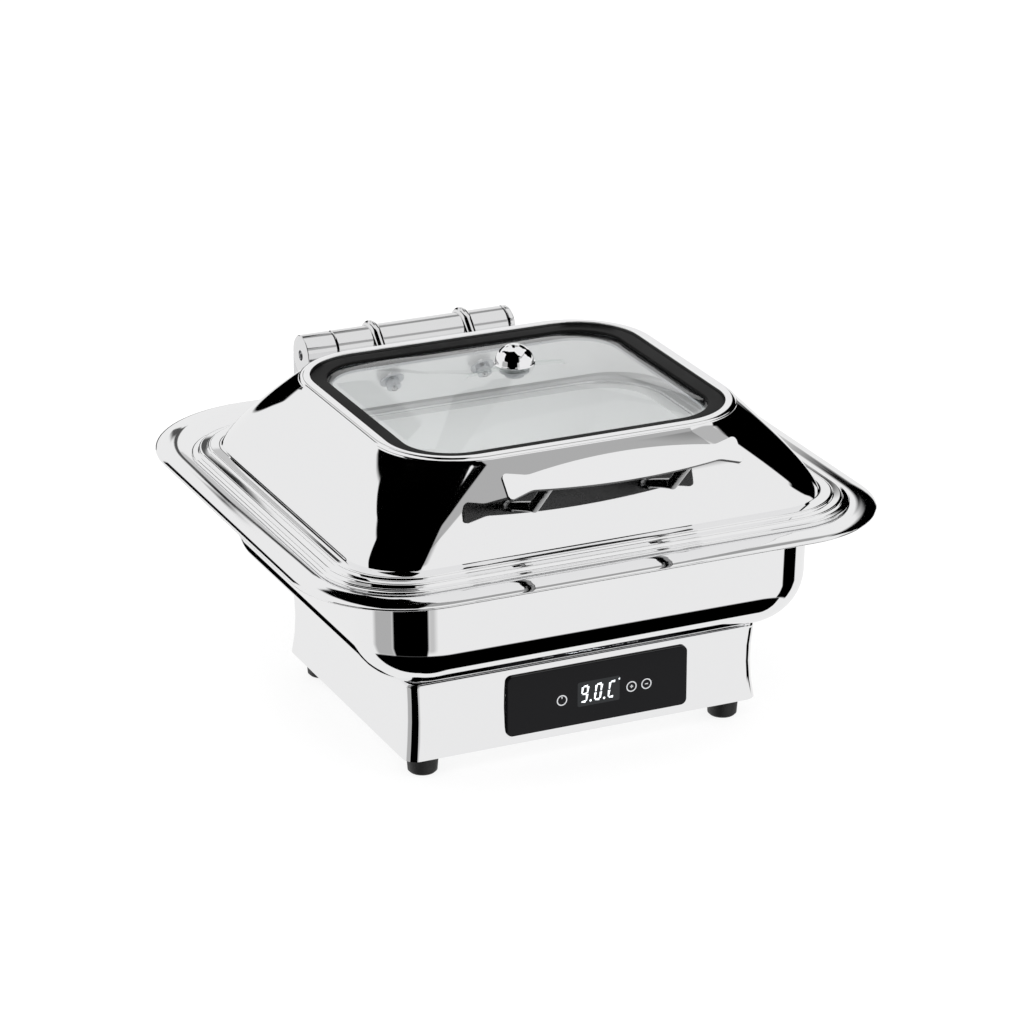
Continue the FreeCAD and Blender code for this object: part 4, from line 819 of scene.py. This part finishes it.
# Settings and operators
class DishSettings(bpy.types.PropertyGroup):
    """Sizes, colours and lights of the dish"""
    corner_steps: bpy.props.IntProperty(
        name="Corner Steps", description="Points along each rounded corner", default=20, min=6, max=40)
    sheet: bpy.props.FloatProperty(
        name="Sheet", description="Thickness of the steel sheet", unit="LENGTH",
        default=SHEET * MM, min=0.5 * MM, max=2 * MM)
    glass: bpy.props.FloatProperty(
        name="Glass", description="Thickness of the window", unit="LENGTH",
        default=3 * MM, min=MM, max=5 * MM)
    crown: bpy.props.FloatProperty(
        name="Crown", description="Rise of the window above its band", unit="LENGTH",
        default=19 * MM, min=2 * MM, max=25 * MM)
    digit_height: bpy.props.FloatProperty(
        name="Digit Height", description="Height of the lit digits", unit="LENGTH",
        default=13.4 * MM, min=6 * MM, max=17 * MM)
    digit_slant: bpy.props.FloatProperty(
        name="Digit Slant", description="Lean of the lit digits", subtype="ANGLE",
        default=math.radians(8), min=0, max=math.radians(15))
    steel_color: bpy.props.FloatVectorProperty(
        name="Steel", description="Colour of the polished steel", subtype="COLOR", size=3,
        default=(0.92, 0.92, 0.925), min=0, max=1)
    band_color: bpy.props.FloatVectorProperty(
        name="Band", description="Colour of the band round the window", subtype="COLOR", size=3,
        default=(0.008, 0.008, 0.008), min=0, max=1)
    digit_color: bpy.props.FloatVectorProperty(
        name="Digits", description="Colour of the lit digits", subtype="COLOR", size=3,
        default=(0.93, 0.97, 1.0), min=0, max=1)
    sky: bpy.props.FloatProperty(
        name="Sky", description="Brightness of the shell that the steel mirrors", default=0.88, min=0, max=3)
    world: bpy.props.FloatProperty(
        name="World", description="Brightness of the even surroundings", default=1.0, min=0, max=3)
    lamp: bpy.props.FloatProperty(
        name="Lamp", description="Power of the soft lamp in watts", default=30, min=0, max=200)


class DISH_OT_base(bpy.types.Operator):
    """Add the housing and its feet"""
    bl_idname = "dish.base"
    bl_label = "Base"

    def execute(self, context):
        build_base(context.scene.dish)
        return {"FINISHED"}


class DISH_OT_panel_marks(bpy.types.Operator):
    """Add the lit digits and the marks on the touch keys"""
    bl_idname = "dish.panel_marks"
    bl_label = "Panel Marks"

    def execute(self, context):
        build_digits(context.scene.dish)
        build_key_marks(context.scene.dish)
        return {"FINISHED"}


class DISH_OT_water_pan(bpy.types.Operator):
    """Add the water pan with its drooping flange"""
    bl_idname = "dish.water_pan"
    bl_label = "Water Pan"

    def execute(self, context):
        build_water_pan(context.scene.dish)
        return {"FINISHED"}


class DISH_OT_food_pan(bpy.types.Operator):
    """Add the food pan inside the water pan"""
    bl_idname = "dish.food_pan"
    bl_label = "Food Pan"

    def execute(self, context):
        build_food_pan(context.scene.dish)
        return {"FINISHED"}


class DISH_OT_lid(bpy.types.Operator):
    """Add the stepped and domed lid"""
    bl_idname = "dish.lid"
    bl_label = "Lid"

    def execute(self, context):
        build_lid(context.scene.dish)
        return {"FINISHED"}


class DISH_OT_window(bpy.types.Operator):
    """Add the black band and the crowned glass"""
    bl_idname = "dish.window"
    bl_label = "Window"

    def execute(self, context):
        build_window(context.scene.dish)
        return {"FINISHED"}


class DISH_OT_vent(bpy.types.Operator):
    """Add the vent cap on the glass"""
    bl_idname = "dish.vent"
    bl_label = "Vent Cap"

    def execute(self, context):
        build_vent(context.scene.dish)
        return {"FINISHED"}


class DISH_OT_handle(bpy.types.Operator):
    """Add the handle plate and its posts"""
    bl_idname = "dish.handle"
    bl_label = "Handle"

    def execute(self, context):
        build_handle(context.scene.dish)
        return {"FINISHED"}


class DISH_OT_hinge(bpy.types.Operator):
    """Add the hinge tubes and the lid arms"""
    bl_idname = "dish.hinge"
    bl_label = "Hinge"

    def execute(self, context):
        build_hinge(context.scene.dish)
        return {"FINISHED"}


class DISH_OT_stage(bpy.types.Operator):
    """Add the floor, the mirrored sky, the lamp and the camera"""
    bl_idname = "dish.stage"
    bl_label = "Stage"

    def execute(self, context):
        dish = context.scene.dish
        build_sky(dish)
        build_floor(dish)
        build_light(dish)
        build_camera(dish)
        return {"FINISHED"}


OPERATORS = (DISH_OT_base, DISH_OT_panel_marks, DISH_OT_water_pan, DISH_OT_food_pan, DISH_OT_lid,
             DISH_OT_window, DISH_OT_vent, DISH_OT_handle, DISH_OT_hinge, DISH_OT_stage)


class DISH_PT_sidebar(bpy.types.Panel):
    """Settings and steps of the dish"""
    bl_idname = "DISH_PT_sidebar"
    bl_label = "Chafing Dish"
    bl_space_type = "VIEW_3D"
    bl_region_type = "UI"
    bl_category = "Dish"

    def draw(self, context):
        for name in DishSettings.__annotations__:
            self.layout.prop(context.scene.dish, name)
        for step in OPERATORS:
            self.layout.operator(step.bl_idname)


CLASSES = (DishSettings,) + OPERATORS + (DISH_PT_sidebar,)


def register():
    for item in CLASSES:
        bpy.utils.register_class(item)
    bpy.types.Scene.dish = bpy.props.PointerProperty(type=DishSettings)


def unregister():
    del bpy.types.Scene.dish
    for item in reversed(CLASSES):
        bpy.utils.unregister_class(item)


def main():
    register()
    dress_nodes(bpy.context.scene.dish)
    bpy.ops.dish.base()
    bpy.ops.dish.panel_marks()
    bpy.ops.dish.water_pan()
    bpy.ops.dish.food_pan()
    bpy.ops.dish.lid()
    bpy.ops.dish.window()
    bpy.ops.dish.vent()
    bpy.ops.dish.handle()
    bpy.ops.dish.hinge()
    bpy.ops.dish.stage()


if __name__ == "__main__":
    main()
